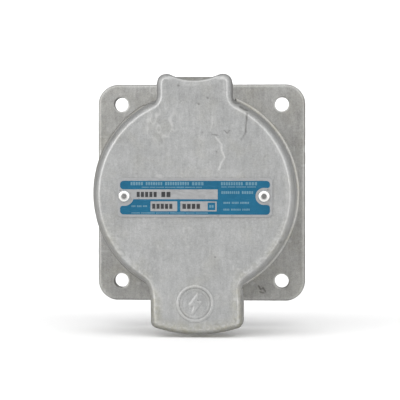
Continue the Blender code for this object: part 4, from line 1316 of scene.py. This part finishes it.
def terminal_field(x, y, z):
    """Barrel along +Y with a clamp screw hole on its +X side."""
    radius = hypot(x, z)
    body = meet(radius - 7.3, slab(y, 8.4, 34.0), 0.6)
    body = cut(body, both(radius - 3.5, y - 17.0), 0.3)
    body = cut(body, both(radius - 4.3, 16.6 - y), 0.4)
    return cut(body, both(hypot(y - 26.0, z) - 2.65, 2.0 - x), 0.3)


def clamp_field(x, y, z):
    """Clamp screw along +Z, origin at the tip."""
    radius = hypot(x, y)
    body = meet(radius - 2.15 - 0.55 * thread(x, y, z, 0.8), slab(z, 0.0, 6.9), 0.25)
    body = both(body, radius - 1.7 - z * 0.9)
    return cut(body, both(np.abs(y) - 0.45, 5.4 - z), 0.1)


def make_terminals():
    barrel = cast("terminal_barrel_proto", terminal_field, (-7.3, 8.4, -7.3), (7.3, 34, 7.3),
                  step=0.3, passes=1)
    screw = cast("clamp_screw_proto", clamp_field, (-2.6, -2.6, 0), (2.6, 2.6, 6.9),
                 step=0.15, passes=1)
    for k, (name, x, z, out_x, out_z) in enumerate(POLES):
        turn = Matrix.Rotation(-math.atan2(out_z, out_x), 4, "Y")
        out = Vector((out_x, 0, out_z))
        placed = ((barrel, "terminal_barrel", Matrix.Translation(Vector((x, 0, z)) * MM) @ turn,
                   "tin", "tinned_copper", "terminal", "housing"),
                  (screw, "clamp_screw_threaded", aimed(Vector((x, 26, z)) + out * 4.6, out),
                   "zinc", "zinc_steel", "clamp_screw", f"{name}_clamp_screw_body"))
        for source, suffix, matrix, material, slot, node, body in placed:
            # the first pole uses the source itself
            obj = link_object(f"{name}_{suffix}", source.data.copy()) if k else source
            obj.name = f"{name}_{suffix}"
            obj.matrix_world = matrix
            dress(obj, material, slot, f"{name}_{node}", body)


# ==================================================================== screws
def slotted(head_r, head_height, shank_r, length, pitch=0.8):
    """Field of a pan-head slotted screw along +Z, origin under the head."""
    def field(x, y, z):
        radius = hypot(x, y)
        head = meet(radius - head_r, z - head_height, head_height * 0.45)
        head = meet(head, -z, 0.15)
        depth = np.where(z < -3.0, 0.5, 0.0)
        shank = radius - shank_r + depth * (0.5 - thread(x, y, z, pitch))
        shank = meet(shank, slab(z, -length, 0.3), 0.3)
        shank = both(shank, radius - shank_r + 0.6 - (z + length) * 0.9)
        slot = both(np.abs(y) - 0.45, head_height * 0.45 - z)
        return cut(join(head, shank, 0.15), slot, 0.12)
    return field


# field, low corner, high corner
SCREW_KINDS = {
    "insulator": (slotted(head_r=4.0, head_height=2.4, shank_r=2.15, length=17.0),
                  (-4.1, -4.1, -17.1), (4.1, 4.1, 2.5)),
    "clamp": (slotted(head_r=4.4, head_height=3.0, shank_r=2.2, length=42.0),
              (-4.5, -4.5, -42.1), (4.5, 4.5, 3.1)),
    "bond": (slotted(head_r=3.8, head_height=2.4, shank_r=1.75, length=9.5, pitch=0.7),
             (-3.9, -3.9, -9.6), (3.9, 3.9, 2.5)),
}
# node, kind, place, y direction of the head, turn in degrees, metal
SCREWS = (
    ("insulator_screw_top", "insulator", (0, -19.6, BOLT_R), -1, 20, "zinc"),
    ("insulator_screw_right", "insulator", (BOLT_R, -19.6, 0), -1, -35, "zinc"),
    ("insulator_screw_bottom", "insulator", (0, -19.6, -BOLT_R), -1, 75, "zinc"),
    ("insulator_screw_left", "insulator", (-BOLT_R, -19.6, 0), -1, 10, "zinc"),
    ("insulator_clamp_screw", "clamp", (0, 32.8, 0), 1, 40, "zinc"),
    ("bonding_screw", "bond", (BOND, 0.6, -BOND), 1, -15, "green"),
)


def make_screws():
    made = {}
    for node, kind, at, facing, turn, metal in SCREWS:
        name = node + "_threaded"
        if kind in made:
            obj = link_object(name, made[kind].data.copy())
        else:
            obj = made[kind] = cast(name, *SCREW_KINDS[kind], step=0.2, passes=1)
        spin = Matrix.Rotation(math.radians(turn), 4, "Z")
        obj.matrix_world = aimed(at, (0, facing, 0)) @ spin
        dress(obj, metal, f"{metal}_steel", node)


def make_ground_strap():
    def field(x, y, z):
        along, across = bond_axes(x, z)
        inner = both(slab(y, 1.9, 2.9), slab(along, 12.2, 30.6))
        outer = both(slab(y, -1.9, -0.9), slab(along, 31.0, 40.6))
        wall = both(slab(along - (31.65 - 0.75 * (y + 1.9) / 4.8), -0.85, 0.0),
                    slab(y, -1.7, 2.7))
        strap = join(join(inner, wall, 0.5), outer, 0.5)
        strap = meet(strap, np.abs(across) - 4.6, 0.25)
        strap = meet(strap, rect_field(along - 26.4, across, 14.2, 4.6, 2.2), 0.25)
        strap = cut(strap, hypot(along - POLE_R, across) - 3.5, 0.15)
        return cut(strap, hypot(along - 36.0, across) - 2.2, 0.15)

    obj = cast("ground_strap_strip", field, (8, -1.9, -32.5), (32.5, 2.9, -4), step=0.25,
               passes=1)
    dress(obj, "tin", "tinned_copper", "ground_strap")


def make_bonding_washer():
    def field(x, y, z):
        radius = from_bond(x, z)
        teeth = 0.45 * (np.cos(np.arctan2(z + BOND, x - BOND) * 12) > 0.2)
        return meet(both(radius - 3.95 + teeth, 2.2 - radius), slab(y, -0.6, 0.3), 0.12)

    centre = float(F(BOND))     # single precision, like the field's grid
    obj = cast("bonding_washer_toothed", field, (centre - 4, -0.6, -centre - 4),
               (centre + 4, 0.3, -centre + 4), step=0.16, passes=1)
    dress(obj, "zinc", "zinc_steel", "bonding_washer")


# ===================================================================== stage
# Brightness of the room from the -Y side (0) to the +Y side (1): position, grey
ROOM = ((0.0, 0.10), (0.008, 0.18), (0.025, 0.64), (0.12, 0.66), (0.19, 1.0), (0.34, 0.95),
        (0.46, 0.42), (0.60, 0.22), (1.0, 0.22))


def make_world():
    world = bpy.data.worlds.new("studio")
    bpy.context.scene.world = world
    world.use_nodes = True
    n = Graph(world.node_tree)
    room = n.tree.nodes["Background"]
    coord = n.add("TexCoord")
    split = n.add("SeparateXYZ")
    n.feed(split.inputs[0], coord.outputs["Generated"])
    grey = n.ramp(n.remap(split.outputs[1], (-1.0, 1.0)), *ROOM)
    # less light comes up from below than down from the ceiling
    height = n.remap(split.outputs[2], (-0.6, 0.25), (0.70, 0.97))
    n.feed(room.inputs["Color"], n.tint(grey, height))
    n.feed(room.inputs["Strength"], 1.93)
    # the camera itself sees plain white
    white = n.add("Background")
    n.feed(white.inputs["Color"], (1, 1, 1))
    seen = n.add("LightPath")
    pick = n.add("MixShader")
    n.feed(pick.inputs[0], seen.outputs["Is Camera Ray"])
    n.feed(pick.inputs[1], room.outputs[0])
    n.feed(pick.inputs[2], white.outputs[0])
    n.feed(n.tree.nodes["World Output"].inputs[0], pick.outputs[0])


def make_sweep():
    """Pale floor that curves up into the backdrop, in metres."""
    floor, start, radius, half = -0.0827, 0.9, 0.6, 3.0
    rows = [(-3.0, floor)]
    for i in range(13):
        angle = math.radians(90 * i / 12)
        rows.append((start + radius * math.sin(angle), floor + radius * (1 - math.cos(angle))))
    rows.append((start + radius, 3.0))
    shape = bmesh.new()
    loops = [[shape.verts.new((side * half, y, z)) for side in (-1, 1)] for y, z in rows]
    for near, far in zip(loops, loops[1:]):
        shape.faces.new((near[0], near[1], far[1], far[0]))
    sweep = bmesh_object("studio_sweep", shape)
    sweep.data.shade_smooth()
    n = Nodes("pale paper")
    grain = n.noise(scale=0.01, detail=2, rough=0.55)
    n.finish(n.ramp(grain, (0.3, 0.93), (0.7, 0.95)), metallic=0.0, rough=0.9)
    sweep.data.materials.append(n.material)
    sweep.visible_glossy = False


def make_light(name, at, size, size_y, power):
    """Area light aimed at a point just in front of the mounting face, in metres."""
    light = bpy.data.lights.new(name, "AREA")
    light.shape = "RECTANGLE"
    light.size = size
    light.size_y = size_y
    light.energy = power
    obj = link_object(name, light)
    obj.location = Vector(at) + DATUM
    direction = Vector((0, -0.05, 0)) - Vector(at)
    obj.rotation_euler = direction.to_track_quat("-Z", "Y").to_euler()


def make_camera():
    camera = bpy.data.cameras.new("camera")
    camera.lens = 146.6
    camera.sensor_width = 36.0
    camera.clip_start = 0.05
    camera.clip_end = 20
    obj = link_object("camera", camera)
    yaw, pitch = -0.0687, -0.0226
    forward = Vector((math.sin(yaw) * math.cos(pitch), math.cos(yaw) * math.cos(pitch),
                      math.sin(pitch)))
    obj.location = Vector((67.66, -1003.5, 18.02)) * MM + DATUM
    obj.rotation_euler = forward.to_track_quat("-Z", "Y").to_euler()
    bpy.context.scene.camera = obj


def make_stage():
    view = bpy.context.scene.view_settings
    view.view_transform = "Standard"
    view.look = "None"
    make_world()
    make_sweep()
    make_light("key_softbox", at=(-1.0, -0.8, 0.40), size=0.7, size_y=0.7, power=2.5)
    make_light("fill_softbox", at=(0.95, -0.8, 0.35), size=0.7, size_y=0.7, power=1.0)
    make_light("top_softbox", at=(0.0, -0.1, 1.1), size=0.9, size_y=0.6, power=0.6)
    make_camera()


make_housing()
make_cover()
make_nameplate()
make_drive_screws()
make_pin()
make_set_screw()
make_spring()
make_mounting_gasket()
make_cover_gasket()
make_insulator_gasket()
make_front_insulator()
make_rear_insulator()
make_pins()
make_terminals()
make_screws()
make_ground_strap()
make_bonding_washer()
make_stage()

bpy.context.view_layer.update()
